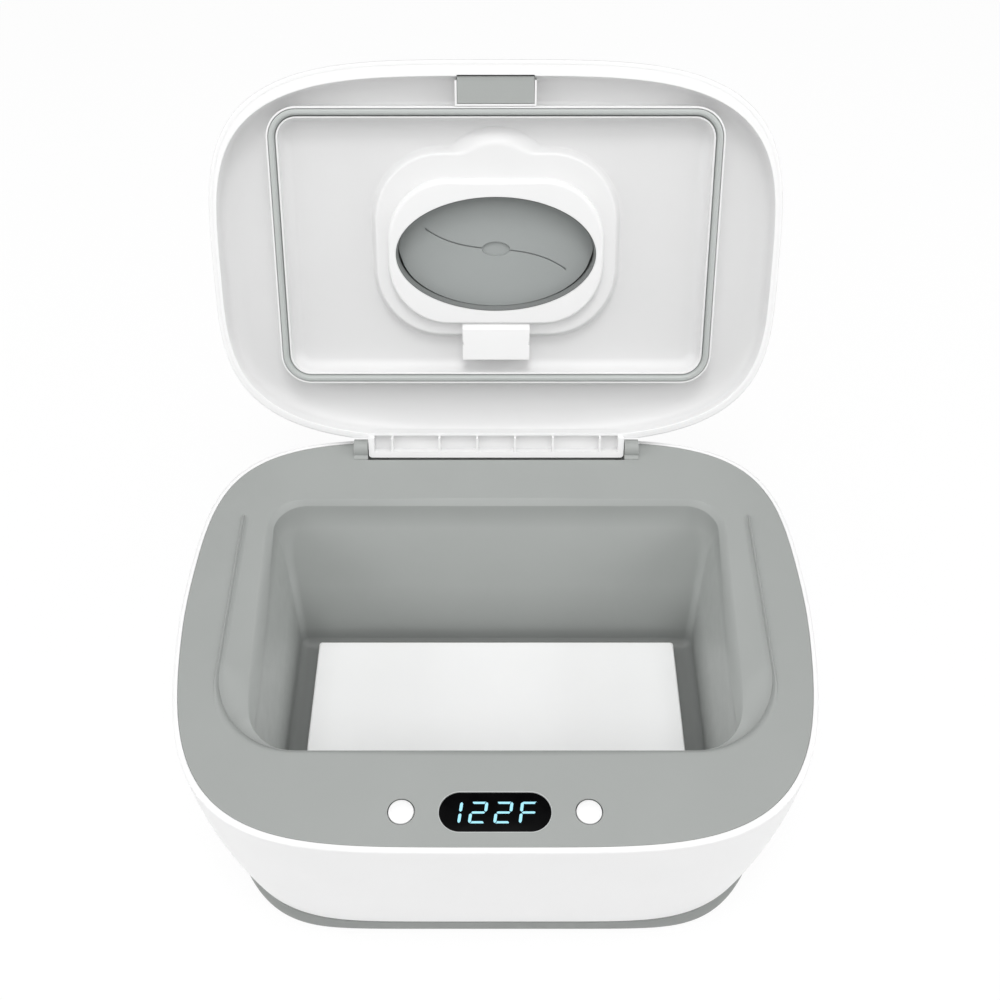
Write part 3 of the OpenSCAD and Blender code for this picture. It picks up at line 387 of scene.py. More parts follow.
# The insert is painted darker below its membrane: painted shade inside the tube.
CUP = plastic("silicone_cup", srgb(158, 162, 161), 0.55, 0.35, 0.2, 0.3, 0.015, sheen=0.15,
              painted_light_by_depth=(INTO_LID, LID_DATUM, [(1.5, 0.5), (8.5, 0.62), (8.78, 1.0), (20, 1.0)]))
BASE_GREY = plastic("grey_base", srgb(143, 146, 144), 0.5, 0.4, 0.16, 0.35, 0.012)
SEAL = plastic("silicone_clear", srgb(183, 187, 185), 0.42, 0.45, 0.1, 0.4, 0.01, sheen=0.1)
PAD = plastic("white_pad", srgb(250, 250, 250), 0.85, 0.3, 0.5, 0.6, 0.01)
BLACK = plastic("window_black", srgb(5, 5, 6), 0.16, 0.06, 0.02, 1.2, 0.05)
DARK = plastic("dark_plastic", srgb(38, 38, 40), 0.45, 0.4, 0.2, 0.3, 0.05)
RUBBER = plastic("foot_rubber", srgb(62, 64, 64), 0.75, 0.3, 0.4, 0.4, 0.06)
BOARD = plastic("circuit_board", srgb(28, 96, 58), 0.4, 0.5, 0.1, 0.8, 0.08)
STEEL = plastic("steel", srgb(182, 184, 188), 0.3, 0.5, 0.05, 0.3, 0.03, metallic=1.0)
ALUMINIUM = plastic("aluminium", srgb(200, 202, 205), 0.38, 0.5, 0.08, 0.5, 0.03, metallic=1.0)
FOIL = plastic("heater_foil", srgb(196, 120, 52), 0.35, 0.5, 0.1, 1.5, 0.1)
INSULATION = plastic("insulation", srgb(214, 210, 196), 0.85, 0.2, 0.5, 0.6, 0.05)
RED = plastic("red_wire", srgb(170, 34, 28), 0.45, 0.45, 0.1, 0.5, 0.05)
BLACK_WIRE = plastic("black_wire", srgb(26, 26, 26), 0.45, 0.45, 0.1, 0.5, 0.05)
SENSOR = plastic("sensor_body", srgb(186, 172, 148), 0.6, 0.4, 0.2, 0.5, 0.05)

CAD_FINISH = {
    "heater_plate": ALUMINIUM, "heater_film": FOIL, "heater_screws": STEEL, "insulation_board": INSULATION,
    "thermal_fuse": SENSOR, "thermistor": DARK, "heater_leads": RED, "control_board": BOARD,
    "display_module": DARK, "tact_switches": DARK, "board_screws": STEEL, "dc_jack": DARK, "jack_nut": STEEL,
    "jack_leads": BLACK_WIRE, "rubber_feet": RUBBER, "base_screws": STEEL, "hinge_pins": STEEL,
    "flap_hinge_pin": STEEL, "flap_seal": SEAL,
}
for node_name, finish in CAD_FINISH.items():
    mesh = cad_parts[node_name].data
    mesh.materials.clear()
    mesh.materials.append(finish)


# ---------- body: white housing and grey base ----------

HOUSING_H, SWELL = 77.0, 0.9
SIDE_TAPER, FRONT_TAPER, BACK_TAPER = 5.2, 5.2, 4.2


def body_loop(inset, d=0.0, square=0.0):
    """The body's outline at a depth: square-shouldered, with sides that bow in to the front and back.

    inset draws it in evenly, and square adds to the squareness of its corners.
    """
    k = min(d / HOUSING_H, 1)
    grow = SWELL * 4 * k * (1 - k) - inset
    n = 4.4 + 2.3 * k + square
    t = np.linspace(0, TURN, 2880, endpoint=False)
    c, u = np.cos(t), np.sin(t)
    u = np.sign(u) * np.abs(u) ** (2 / n)
    front = u < 0
    bow = np.where(front, 0.097, 0.04) * ((u * u + 0.02) ** 0.65 - 0.02 ** 0.65) * (1 - k)
    bow += np.where(front, 0.23, 0.04) * np.abs(u) ** 2.5 * k
    x = (120 - SIDE_TAPER * k + grow) * np.sign(c) * np.abs(c) ** (2 / n) * (1 - bow)
    y = u * np.where(front, BODY_FRONT - FRONT_TAPER * k + grow, 85 - BACK_TAPER * k + grow)
    return dense(np.stack([x, y], 1))


BODY = Rays((0, 0))
NOTCH = (-54.5, 54.5, 72.2, -5.0)      # left, right, front edge and floor of the hinge notch
JACK_Y, JACK_Z = 79.0, -63.0

rings = [BODY.ring(body_loop(2.2, d), -d) for d in (76.9, 60, 40, 20, 6)]
rings += [BODY.ring(body_loop(3.5), z) for z in (-5.4, -2.4)]
rings += [BODY.ring(body_loop(1.93), -2.4), BODY.ring(body_loop(1.93), -0.15), BODY.ring(body_loop(1.8), 0)]
rings += [BODY.ring(body_loop(1.15 * (1 - a), 1.15 * b), -1.15 * b) for a, b in arc(0, math.pi / 2, 9)]
rings += [BODY.ring(body_loop(0, d), -d) for d in (4, 9, 16, 24, 32, 40, 48, 56, 64, 71, 75.8)]
rings += [BODY.ring(body_loop(0.8 * (1 - a), 77), -77 + 0.8 * (1 - b)) for a, b in
          [(math.cos(v), math.sin(v)) for v in np.linspace(0, math.pi / 2, 6)]]
rings += [BODY.ring(body_loop(2.2, 77), -77)]
housing = loft("housing_shell", rings, wrap=True)
collar = rod_y(0, JACK_Y - 2, 82.6, JACK_Z, 10)
housing = combine(housing, [collar], "UNION")
housing = combine(housing, [
    rod_y(0, JACK_Y, 99, JACK_Z, 8), rod_y(0, JACK_Y - 5, 99, JACK_Z, 4.1),
    block(NOTCH[0] - 2.3, NOTCH[1] + 2.3, NOTCH[2] - 2.3, 99, NOTCH[3] - 2.3, 9)])
dress(housing, PLACE_BODY, "housing", WHITE, ["outer_housing"])

FEET = [(x, y) for x in (-82, 82) for y in (-64, 48)]
POSTS = [(x, y) for x in (-102, 102) for y in (-46, 34)]
FLOOR_MID = -14.675
BASE_PROFILE = [(1.0, -85, 1.9), (0.5, -84.9, 1.9), (0.15, -84.5, 1.9), (0, -83.9, 1.7), (-0.1, -82.2, 1.4),
                (-0.1, -80.6, 1.1), (0, -79.4, 0.8), (0, -78.4, 0.6), (0.05, -78.0, 0.5), (0.2, -77.75, 0.3),
                (0.5, -77.6, 0.2), (2.4, -77.6, 0), (2.4, -72.0, 0), (4.5, -72.0, 0), (4.5, -82.8, 0)]
BASE_NARROW = np.array([0.985, 1, 1])
rings = [BODY.ring(body_loop(inset, HOUSING_H, square), z) * BASE_NARROW for inset, z, square in BASE_PROFILE]
base = loft("base_tray", rings)
cuts = [prism(circle(x, y, 7.1, 96), -87, -84.2) for x, y in FEET]
cuts += [prism(circle(x, y, 3.2), -87, -83.2) for x, y in POSTS]
cuts += [prism(circle(x, y, 1.7), -87, -79) for x, y in POSTS]
for i in range(-4, 5):
    slot_loop = pill(16, 2.4, 0)[:, ::-1] * np.array([-1, 1])
    cuts.append(prism(slot_loop + np.array([12 * i, FLOOR_MID]), -87, -81))
base = combine(base, cuts)
dress(base, PLACE_BODY, "housing", BASE_GREY, ["base_cover"])


# ---------- deck with the well ----------

WELL_D = 70.0
WELL_X, WELL_BACK, WELL_FRONT = 90, 49, -60.5       # the well's mouth
SIDE_DRAFT, BACK_DRAFT, FRONT_DRAFT = 3.5, 18, 4       # degrees
CONTROL_Y, BUTTON_X = -86.0, 31.5
CREASE_BACK = 42.7


def well_loop(d, grow=0.0):
    """Outline of the well at a depth, the same point always on the same corner or side."""
    xb = WELL_X - d * math.tan(math.radians(SIDE_DRAFT)) + grow
    xf = xb - 3.5 * (1 - d / WELL_D)
    yb = WELL_BACK - d * math.tan(math.radians(BACK_DRAFT)) + grow
    yf = WELL_FRONT + d * math.tan(math.radians(FRONT_DRAFT)) - grow
    sharp = smooth(d / 16)
    rb = max(0.6, 12.5 - 9.3 * smooth(d / 26) + grow)
    rf = max(0.6, 15 - 9 * sharp + grow)
    return corners(xb, xf, yb, yf, rb, rf, 28, 96)


top_loop = well_loop(0)
away = top_loop - np.array([0, -6])
DECK = Rays((0, -6), np.arctan2(away[:, 1], away[:, 0]))
wall_levels = np.linspace(0, WELL_D, 57)
wall_stack = np.array([lift(well_loop(d), -d) for d in wall_levels])


def wall(d):
    """Ring on the well's wall at a depth that may differ from point to point."""
    at = np.broadcast_to(np.asarray(d, float), (len(top_loop),)) / WELL_D * (len(wall_levels) - 1)
    low = np.minimum(at.astype(int), len(wall_levels) - 2)
    k, index = (at - low)[:, None], np.arange(len(top_loop))
    return wall_stack[low, index] * (1 - k) + wall_stack[low + 1, index] * k


crease_loop = rounded(102, 101, 57, -62.6, 10, 32)
crease = DECK.reach(crease_loop)
crease_y = DECK.at(crease)[:, 1]
mouth_y = top_loop[:, 1]
present = smooth((CREASE_BACK - crease_y) / 2.2)
to_front = smooth((-crease_y - 26) / 34)
edge_r = present * (0.7 + 1.3 * to_front)
bead = 0.8 * present * (1 - to_front)
step = present * (0.4 + 3.95 * to_front)
edge_z = np.minimum(edge_r, step)
slope_k = (CREASE_BACK - mouth_y) / (CREASE_BACK - WELL_FRONT)
drop = 3.2 * smooth(np.clip(1.25 * slope_k, 0, 1))
lip_r = 2.5 + 5 * smooth((44 - mouth_y) / 46) * (1 - to_front)
wall_reach = np.hypot(away[:, 0], away[:, 1])
span = np.maximum(crease - wall_reach, 0.05)
lip_out = np.minimum(0.92 * lip_r, span * (1 - 0.75 * present))
share = 1 - lip_out / span
drop_in = np.maximum(drop, (step + 0.15) * to_front)
lip_z = -drop_in
wall_z = lip_z - np.maximum(0.8 * lip_r, 0.3)
slope = np.where(span > 0.4, lip_z / np.maximum(span * share, 0.4), -0.3)

rings = [DECK.ring(body_loop(2.0), -2.4), DECK.ring(body_loop(2.0), -0.35)]
rings += [DECK.ring(body_loop(2.0 + 0.35 * b), -0.35 * (1 - a)) for a, b in arc(0.4, math.pi / 2, 4)]
rings += [lift(DECK.at(crease + 1.8 * edge_r + 0.25), 0)]
rings += [lift(DECK.at(crease + edge_r * (1.8 - 1.8 * k)), bead * math.sin(math.pi * k) - edge_z * k ** 3)
          for k in np.linspace(0, 1, 19)]
rings += [lift(DECK.at(crease - 0.02), -step)]
foot_ring = rings[-1]
lip_ring = lift(DECK.at(wall_reach + lip_out), lip_z)
wall_ring = wall(-wall_z)
heal = 2.4 + 44 * to_front
for k in (0.02, 0.05, 0.09, 0.14, 0.2, 0.3, 0.45, 0.65, 0.85):
    ring = foot_ring * (1 - k) + lip_ring * k
    healed = smooth(k * span * share / heal)
    ring[:, 2] = -(step * (1 - k) + drop_in * k) * (1 - healed) - drop_in * k * healed
    rings.append(ring)
inward = np.concatenate([-DECK.out, slope[:, None]], 1)
down = wall(-wall_z + 1) - wall_ring
rings.append(lip_ring)
soft = 0.1 + 0.35 * smooth((46 - mouth_y) / 30) * (1 - to_front)
rings += curve(lip_ring, lip_ring + inward * (soft * lip_out)[:, None],
               wall_ring - down * (soft * (lip_z - wall_z))[:, None], wall_ring, 9)
rings.append(wall_ring)
deepest = 12.0
for k in (0.3, 0.6, 1.0):
    rings.append(wall(-wall_z * (1 - k) + deepest * k))
FOOT_R = 3.0
rings += [wall(d) for d in (14, 16, 20, 30, 40, 50, 58, 64, WELL_D - FOOT_R)]
for a, b in arc(0, math.pi / 2, 7)[1:]:
    rings.append(lift(well_loop(WELL_D - FOOT_R * (1 - a), -FOOT_R * b), -(WELL_D - FOOT_R * (1 - a))))
rings += [lift(well_loop(WELL_D, -FOOT_R - 0.5), -WELL_D), lift(well_loop(WELL_D, -14), -WELL_D)]
rings = rings[::-1]
under = [DECK.ring(rounded(105, 104, 60, -65, 12, 34), z) for z in (-2.4, -9)]
under += [lift(well_loop(12, 2.2), -12), lift(well_loop(WELL_D - 3, 2.2), -WELL_D + 3),
          lift(well_loop(WELL_D, 0.6), -WELL_D - 2.2)]
deck = loft("deck_and_well", rings + under)
notch_walls = prism(np.array([(-56.5, 70.0), (56.5, 70.0), (56.5, 79.0), (50, 80.6), (-50, 80.6), (-56.5, 79.0)]),
                    -7.2, -1.0)
deck = combine(deck, [notch_walls], "UNION")
cuts = [block(NOTCH[0], NOTCH[1], NOTCH[2], 99, NOTCH[3], 9),
        prism(pill(37.8, 14.2, CONTROL_Y, 48), -1.8, 3), prism(pill(33.8, 11.0, CONTROL_Y, 48), -9, 3)]
cuts += [prism(circle(x, CONTROL_Y, 4.65, 96), -9, 3) for x in (-BUTTON_X, BUTTON_X)]
deck = combine(deck, cuts)

# Hinge ears: inner and outer face, radius round the axis, and reach in front of it
EAR_IN, EAR_OUT, EAR_R, EAR_FRONT = 54.3, 60.2, 3.9, 5.5
ears = []
for side in (-1, 1):
    x0, x1 = sorted((side * EAR_IN, side * EAR_OUT))
    t = np.radians(np.linspace(180, 0, 25))
    profile = np.stack([EAR_R * np.cos(t), HINGE_Z + EAR_R * np.sin(t)], 1)
    profile = np.concatenate([[(-EAR_FRONT, -2.4)], [(-EAR_FRONT, 0.3)], profile, [(EAR_R, -2.4)]])
    ears.append(upright(profile[:, ::-1], x0, x1, HINGE_Y))
deck = combine(deck, ears, "UNION")
dress(deck, PLACE_BODY, "housing", GREY, ["tub_deck"], 28)

# White pad on the well's floor: crowned a little, with sharp corners and a soft edge
pad_rings = []
PAD_L, PAD_W = 155.0, 75.0
for grow, z in ((-1.2, 0.0), (-0.5, 0.1), (-0.1, 0.5), (0, 1.2), (0, 3), (0, 4.9), (-0.15, 5.5), (-0.5, 5.85),
                (-1.2, 6.0)):
    pad_rings.append(lift(corners(PAD_L / 2 + grow, PAD_L / 2 + grow, PAD_W / 2 + grow, -PAD_W / 2 - grow,
                                  1.2, 1.2, 6, 40) + np.array([0, FLOOR_MID]), z - WELL_D))
pad = loft("moisture_pad_soft", pad_rings)
dress(pad, PLACE_BODY, "housing", PAD, ["moisture_pad"])


# ---------- controls ----------

WINDOW_TOP = -0.2
window = loft("window_lens", [lift(pill(l, w, CONTROL_Y, 40), z) for l, w, z in
                              ((37.5, 13.9, -1.79), (37.6, 14.0, -1.7), (37.6, 14.0, WINDOW_TOP - 0.25),
                               (37.45, 13.85, WINDOW_TOP - 0.07), (37.1, 13.5, WINDOW_TOP))])
dress(window, PLACE_BODY, "housing", BLACK, ["display_window"])

bezel = loft("window_bezel", [lift(pill(l, w, CONTROL_Y, 40), z) for l, w, z in
                              ((37.9, 14.3, -0.9), (38.3, 14.7, -0.05), (38.25, 14.65, 0.05), (38.05, 14.45, 0.08),
                               (37.8, 14.2, 0.03), (37.7, 14.1, -0.1), (37.7, 14.1, -0.9))], wrap=True)
dress(bezel, PLACE_BODY, "housing", plastic("bezel_grey", srgb(196, 199, 198), 0.4))

DIGIT_PITCH, DIGIT_HALF_W, DIGIT_HALF_H, SLANT = 8.45, 2.46, 3.45, 0.125
BAR, UPRIGHT, SEGMENT_GAP = 0.38, 0.5, 0.14
SEGMENTS = {"1": "bc", "2": "abged", "F": "aefg"}


def segment(letter):
    """Outline of one bar of a seven-segment figure round its own centre, before the slant."""
    w, h, g = DIGIT_HALF_W, DIGIT_HALF_H, SEGMENT_GAP
    if letter in "agd":
        y = {"a": h, "g": 0, "d": -h}[letter]
        x = w - g
        tip = {"a": (x - BAR * 0.2, x - BAR * 1.4), "g": (x - BAR, x - BAR),
               "d": (x - BAR * 1.4, x - BAR * 0.2)}[letter]
        mid = 0 if letter != "g" else BAR * 0.9
        return [(-tip[1], y - BAR), (tip[1], y - BAR), (tip[1] + mid, y), (tip[0], y + BAR), (-tip[0], y + BAR),
                (-tip[0] - mid, y)]
    x = w if letter in "bc" else -w
    up = 1 if letter in "bf" else -1
    lo, hi = g + 0.15, h + BAR * 0.8 - g
    u = UPRIGHT
    points = [(x, up * lo), (x + u, up * (lo + u * 0.9)), (x + u, up * (hi - u)), (x + u * 0.3, up * hi),
              (x - u * 0.3, up * hi), (x - u, up * (hi - u)), (x - u, up * (lo + u * 0.9))]
    return points if up > 0 else points[::-1]


glow = bpy.data.materials.new("digit_glow")
glow.use_nodes = True
glow_shader = glow.node_tree.nodes["Principled BSDF"]
glow_shader.inputs["Base Color"].default_value = srgb(120, 170, 185)
glow_shader.inputs["Roughness"].default_value = 0.5
glow_shader.inputs["Emission Color"].default_value = srgb(160, 226, 242)
glow_shader.inputs["Emission Strength"].default_value = 0.6
bars = []
for i, figure in enumerate("122F"):
    for letter in SEGMENTS[figure]:
        loop = np.array(segment(letter))
        loop[:, 0] += SLANT * loop[:, 1] + DIGIT_PITCH * (i - 1.5) - 1.45
        loop[:, 1] += CONTROL_Y - 0.2
        bars.append(prism(loop, WINDOW_TOP - 0.1, WINDOW_TOP + 0.02))
digits = together(bars[0], bars[1:])
digits.name = "display_digits"
dress(digits, PLACE_BODY, "housing", glow)

for body, x in (("left_button", -BUTTON_X), ("right_button", BUTTON_X)):
    levels = [(2, -6), (2, -3.9), (5.3, -3.9), (5.3, -2.7), (4.3, -2.7), (4.3, -0.25), (4.27, -0.05), (4.18, 0.12),
              (4.0, 0.25)]
    levels += [(4.0 * k, 0.25 + 0.6 * (1 - k * k)) for k in (0.85, 0.65, 0.45, 0.25, 0.1)]
    cap = loft(body + "_cap", [lift(circle(x, CONTROL_Y, r, 72), z) for r, z in levels])
    dress(cap, PLACE_BODY, body, WHITE, [body])


# ---------- lid ----------

LID_H, LID_GAP, WALL = 23.0, 0.5, 1.8
PANEL_TOP, SEAT_Z, DISH_Z = 10.6, 13.4, 9.0
FRAME_Z, BOSS_Z, OVAL_Y = 1.2, 4.6, -3.7
FLAP_Y, FLAP_Z, LUG_X, LUG_W = 34.8, 20.6, 12.3, 2.6
POCKET, BOSS = (99.8, 43.7, 38), (99.4, 44.2, 31)       # width, and reach to the front and the back
BAY_HALF, BAY_D = 18, 7.8       # finger bay in the front edge of the pocket and the boss
OVAL_HALF_L, OVAL_HALF_W = 40, 22.6
SEAL_X, SEAL_BACK, SEAL_FRONT, SEAL_R = 88.7, 49.4, -60, 12
FRAME_X, FRAME_BACK, FRAME_FRONT, FRAME_R = 43, 24.2, -33, 24
LID = Rays((0, -4))


def lid_loop(inset, front=0.0):
    return squircle(113.5 - inset, 81.9 - inset - front, 71 - inset, 3.75, 3.4, 5)


def lid_inset(z):
    k = (z - LID_GAP) / (LID_H - LID_GAP)
    return 3 * k + 30 * k ** 6


def lid_ring(inset, z, front=0.0):
    return LID.ring(lid_loop(inset, front), z)


def bay_ring(w, front, back, g, z, bay_g=0.0, r=28.0, blend=2.2):
    """Rounded square with the finger bay, the two meeting in a soft inner corner."""
    square = LID.reach(rounded(w / 2 + g, w / 2 + g, back + g, -front - g, r + g, r + g))
    bay_r = (BAY_HALF ** 2 + BAY_D ** 2) / (2 * BAY_D)
    centre = -front - BAY_D + bay_r
    offset = centre - LID.centre[1]
    along = LID.out[:, 1] * offset
    inside = along ** 2 - offset ** 2 + (bay_r + g + bay_g) ** 2
    bay = np.where((inside > 0) & (LID.out[:, 1] < 0), along + np.sqrt(np.maximum(inside, 0)), 0)
    h = np.clip(0.5 + 0.5 * (bay - square) / blend, 0, 1)
    return lift(LID.at(square * (1 - h) + bay * h + blend * h * (1 - h)), z)


def pocket_ring(g, z):
    return bay_ring(*POCKET, g, z)


def oval_ring(g, z):
    return LID.ring(ellipse(OVAL_HALF_L + g, OVAL_HALF_W + g, OVAL_Y, 2000), z)


def ring_path(g, z):
    """Ring in the seal's channel, g in from its outer wall."""
    r = max(1.0, SEAL_R - g)
    return LID.ring(rounded(SEAL_X - g, SEAL_X - g, SEAL_BACK - g, SEAL_FRONT + g, r, r), z)


def frame_ring(g, z):
    r = FRAME_R - g
    return LID.ring(rounded(FRAME_X - g, FRAME_X - g, FRAME_BACK - g, FRAME_FRONT + g, r, r), z)


# Outer shell: inside wall, ceiling, round the pocket, out over the crown and down the side
rings = [lid_ring(lid_inset(z) + WALL, z) for z in (0.52, 4, 8, 12, 15, 17.5)]
rings += [lid_ring(lid_inset(19.3) + WALL, 19.3), lid_ring(lid_inset(21.0) + WALL + 2, 21.2)]
rings += [pocket_ring(2, 21.2), pocket_ring(2, 15.5), oval_ring(0, 15.5), oval_ring(0, 17.2), oval_ring(0.3, 17.5)]
rings += [pocket_ring(-0.8, 17.5), pocket_ring(-0.2, 17.7), pocket_ring(0, 18.3), pocket_ring(0, 22.3),
          pocket_ring(0.2, 22.78), pocket_ring(0.7, 23.0)]
rings += [lid_ring(33.2, 23.0), lid_ring(31, 22.94)]
LEVELS = (22.75, 22.5, 22.2, 21.8, 21.3, 20.7, 20, 19.1, 18, 16.5, 14.5, 12, 9.5, 7, 4.5, 2.2)
rings += [lid_ring(lid_inset(z), z) for z in LEVELS]
rings += [lid_ring(lid_inset(1.3) + a, z) for a, z in ((0.02, 1.3), (0.14, 0.9), (0.36, 0.62), (0.7, 0.5))]
shell = loft("lid_cover", rings, wrap=True)
lugs = []
for side in (-1, 1):
    x0, x1 = sorted((side * LUG_X, side * (LUG_X + LUG_W)))
    t = np.radians(np.linspace(0, 180, 25))
    profile = np.concatenate([[(17.0, -2)], np.stack([FLAP_Z + 2 * np.sin(t), -2 * np.cos(t)], 1), [(17.0, 2)]])
    lugs.append(upright(profile, x0, x1, FLAP_Y))
shell = combine(shell, lugs, "UNION")


def hinge_rods(inner, outer, r):
    """A round bar on the lid's hinge axis at each side."""
    return [rod(*sorted((s * inner, s * outer)), HINGE_Y, HINGE_Z, r) for s in (-1, 1)]


EAR_RELIEF = (53.9, 60.5, 4.9)       # clears the deck's ears while the lid turns
shell = combine(shell, hinge_rods(*EAR_RELIEF) + [block(-54.1, 54.1, 69.4, 95, -5, 5.6)])
dress(shell, PLACE_LID, "lid", LID_WHITE, ["lid_outer_shell"])

# Inner panel, from its hidden upper side round the rim and in to the oval opening
rings = [lid_ring(lid_inset(PANEL_TOP) + WALL, PANEL_TOP)]
rings += [lid_ring(lid_inset(z) + WALL, z) for z in (8, 4, 1.2)]
rings += [lid_ring(lid_inset(0.8) + WALL, 0.52)]
rings += [lid_ring(3.1 - 0.35 * (1 - a), 0.52 + 0.35 * b, 3) for a, b in arc(0, math.pi / 2, 5)]
for z, inset in ((1.6, 3.12), (2.8, 3.18), (4.0, 3.3), (5.0, 3.5), (5.9, 3.8), (6.7, 4.25), (7.4, 4.9), (8.0, 5.9),
                 (8.45, 7.2), (8.75, 8.8), (8.92, 10.6), (DISH_Z, 12.6)):
    rings.append(lid_ring(inset, z, 3))
rings += [ring_path(-1.4 * (1 - b), DISH_Z - 1.4 * a) for a, b in
          [(1 - math.cos(v), math.sin(v)) for v in np.linspace(0, math.pi / 2, 6)]]
rings += [ring_path(g, z) for g, z in ((0.0, 1.7), (0.08, 1.48), (0.25, 1.4), (0.55, 1.4), (0.72, 1.48),
                                       (0.8, 1.7))]
rings += [ring_path(0.8, 8.9), ring_path(3.6, 8.9)]
RIB_IN = 2.1
rings += [ring_path(3.6, RIB_IN + 0.3), ring_path(3.7, RIB_IN + 0.08), ring_path(3.85, RIB_IN),
          ring_path(4.15, RIB_IN), ring_path(4.32, RIB_IN + 0.08), ring_path(4.4, RIB_IN + 0.3)]
COVE_R = 5.0
rings += [ring_path(4.4 + COVE_R * b, DISH_Z - COVE_R * (1 - a)) for a, b in arc(0, math.pi / 2, 10)]
BOSS_SIDE = [(0.9, DISH_Z, 0), (0.4, DISH_Z - 0.1, 0), (0.05, DISH_Z - 0.4, 0), (-0.2, DISH_Z - 0.9, -0.2),
             (-1.2, 6.0, -2.2), (-1.45, 5.3, -2.9), (-1.75, 4.88, -3.4), (-2.15, 4.66, -3.8), (-2.7, BOSS_Z, -4.2)]
rings += [bay_ring(*BOSS, g, z, bay_g) for g, z, bay_g in BOSS_SIDE]
frame_r = 1.1 + 1.2 * smooth(-LID.out[:, 1] * 1.6)


def frame_round(a, b):
    """Ring on the frame's edge, rounder towards the lid's free edge."""
    reach = np.hypot(*(frame_ring(0, 0)[:, :2] - LID.centre).T) - frame_r * b
    return lift(LID.at(reach), FRAME_Z + frame_r * (1 - a))


rings += [frame_ring(-0.5, BOSS_Z), frame_ring(-0.15, BOSS_Z - 0.08), frame_ring(0, BOSS_Z - 0.3)]
rings += [frame_round(a, b) for a, b in arc(0, math.pi / 2, 9)]
rings += [oval_ring(g, z) for g, z in ((0.3, FRAME_Z), (0.09, FRAME_Z + 0.09), (0, FRAME_Z + 0.3), (0, SEAT_Z),
                                       (2.4, SEAT_Z), (2.4, PANEL_TOP))]
panel = loft("lid_lining", rings, wrap=True)

GRIP_X, GRIP_BACK, GRIP_FRONT = 14.8, -60.9, -70.9
BOX_X, BOX_FRONT, BOX_BACK, BOX_Z = 13.7, 23.8, 39.2, 0.6
BLOCK_HALF, BLOCK_FRONT, BLOCK_BACK, BLOCK_LOW = 54.0, 71.0, 81.0, -2.2


def side_bar(profile, x0, x1):
    """Bar along x over an outline given as (y, z)."""
    obj = prism(np.array(profile, float), x0, x1)
    obj.data.transform(ALONG_X)
    return outward(obj)


box_profile = [(BOX_FRONT, 9.5), (BOX_FRONT, 3.2), (BOX_FRONT + 0.1, 2.9), (BOX_FRONT + 2.35, 0.72),
               (BOX_FRONT + 2.7, BOX_Z), (BOX_BACK - 0.4, BOX_Z), (BOX_BACK - 0.12, 0.72), (BOX_BACK, 1.0),
               (BOX_BACK, 9.5)]
adds = [side_bar(box_profile, -BOX_X, BOX_X),
        block(-GRIP_X - 0.8, GRIP_X + 0.8, GRIP_FRONT + 1.5, GRIP_BACK + 0.8, 1.25, 10, 0.12)]
t = np.radians(np.linspace(0, 90, 9))
round_r = 1.6
right = np.stack([BLOCK_HALF - round_r + round_r * np.cos(t), BLOCK_BACK - round_r + round_r * np.sin(t)], 1)
left = right[::-1] * np.array([-1, 1])
outline = np.concatenate([[(BLOCK_HALF, BLOCK_FRONT)], right, left, [(-BLOCK_HALF, BLOCK_FRONT)]])
hinge = prism(outline, BLOCK_LOW, 5.5)
# The front of the block is cut back below the deck's level, where it lies in the notch when the lid is shut
hinge = combine(hinge, [block(-60, 60, 60, NOTCH[2] + 0.4, -9, 0.3)])
hinge = combine(hinge, [side_bar([(79.2, 5.9), (83, 2.2), (83, 5.9)], -60, 60)])
adds.append(hinge)
panel = combine(panel, adds, "UNION")
PIN_BORE = (52.1, 56, 1.3)
CELLS = (72.0, 78.4)       # front and back of the cells between the block's ribs
CELL_D = 2.9
rib_x = [-51.5, -43.9, -24, -8, 8, 24, 43.9, 51.5]
cuts = [block(a + (0.4 if a > -51 else 0), b - (0.4 if b < 51 else 0), *CELLS, -4, CELL_D)
        for a, b in zip(rib_x, rib_x[1:])]
cuts += [block(-GRIP_X, GRIP_X, GRIP_FRONT - 0.4, GRIP_BACK, -2, 6.0)]
cuts += [block(s * BOX_X - 0.45, s * BOX_X + 0.45, 31.6, 32.7, 0, 2.2) for s in (-1, 1)]
cuts += hinge_rods(*EAR_RELIEF) + hinge_rods(*PIN_BORE)
panel = combine(panel, cuts)
dress(panel, PLACE_LID, "lid", LINING, ["lid_inner_panel"], 30)

grip = block(-GRIP_X + 0.1, GRIP_X - 0.1, GRIP_FRONT + 0.1, GRIP_BACK - 0.15, 1.3, 5.9, 0.2, "grip_pad")
dress(grip, PLACE_LID, "lid", GREY_PLAIN, ["lid_grip_insert"])

# Seal: a broad flat face with a soft lip, held between the two ribs
seal_profile = [(0.95, 8.7), (0.95, 1.9), (1.0, 1.45), (1.15, 1.15), (1.45, 0.95), (2.2, 0.9), (2.6, 1.0),
                (2.85, 1.3), (3.1, 1.9), (3.3, 2.6), (3.42, 3.4), (3.45, 8.7)]
seal = loft("lid_seal_soft", [ring_path(g, z) for g, z in seal_profile], wrap=True)
dress(seal, PLACE_LID, "lid", SEAL, ["lid_seal"], 50)

# Dispenser insert: oval tube with a membrane, an S-shaped slit and a shallow oval at its middle
MEMBRANE_Z = 8.8
collar = [(-0.04, 13.38), (-0.04, 1.8), (-0.1, 1.66), (-0.28, 1.66), (-0.38, 1.8), (-0.38, 14.6), (-3.2, 14.6),
          (-3.2, 15.3), (1.4, 15.3), (1.5, 13.42)]
insert = loft("dispenser_cup", [oval_ring(g, z) for g, z in collar], wrap=True)
disc_side = 39.6 - 1.1 * smooth((np.sin(LID.angles) + 0.12) / 0.3)


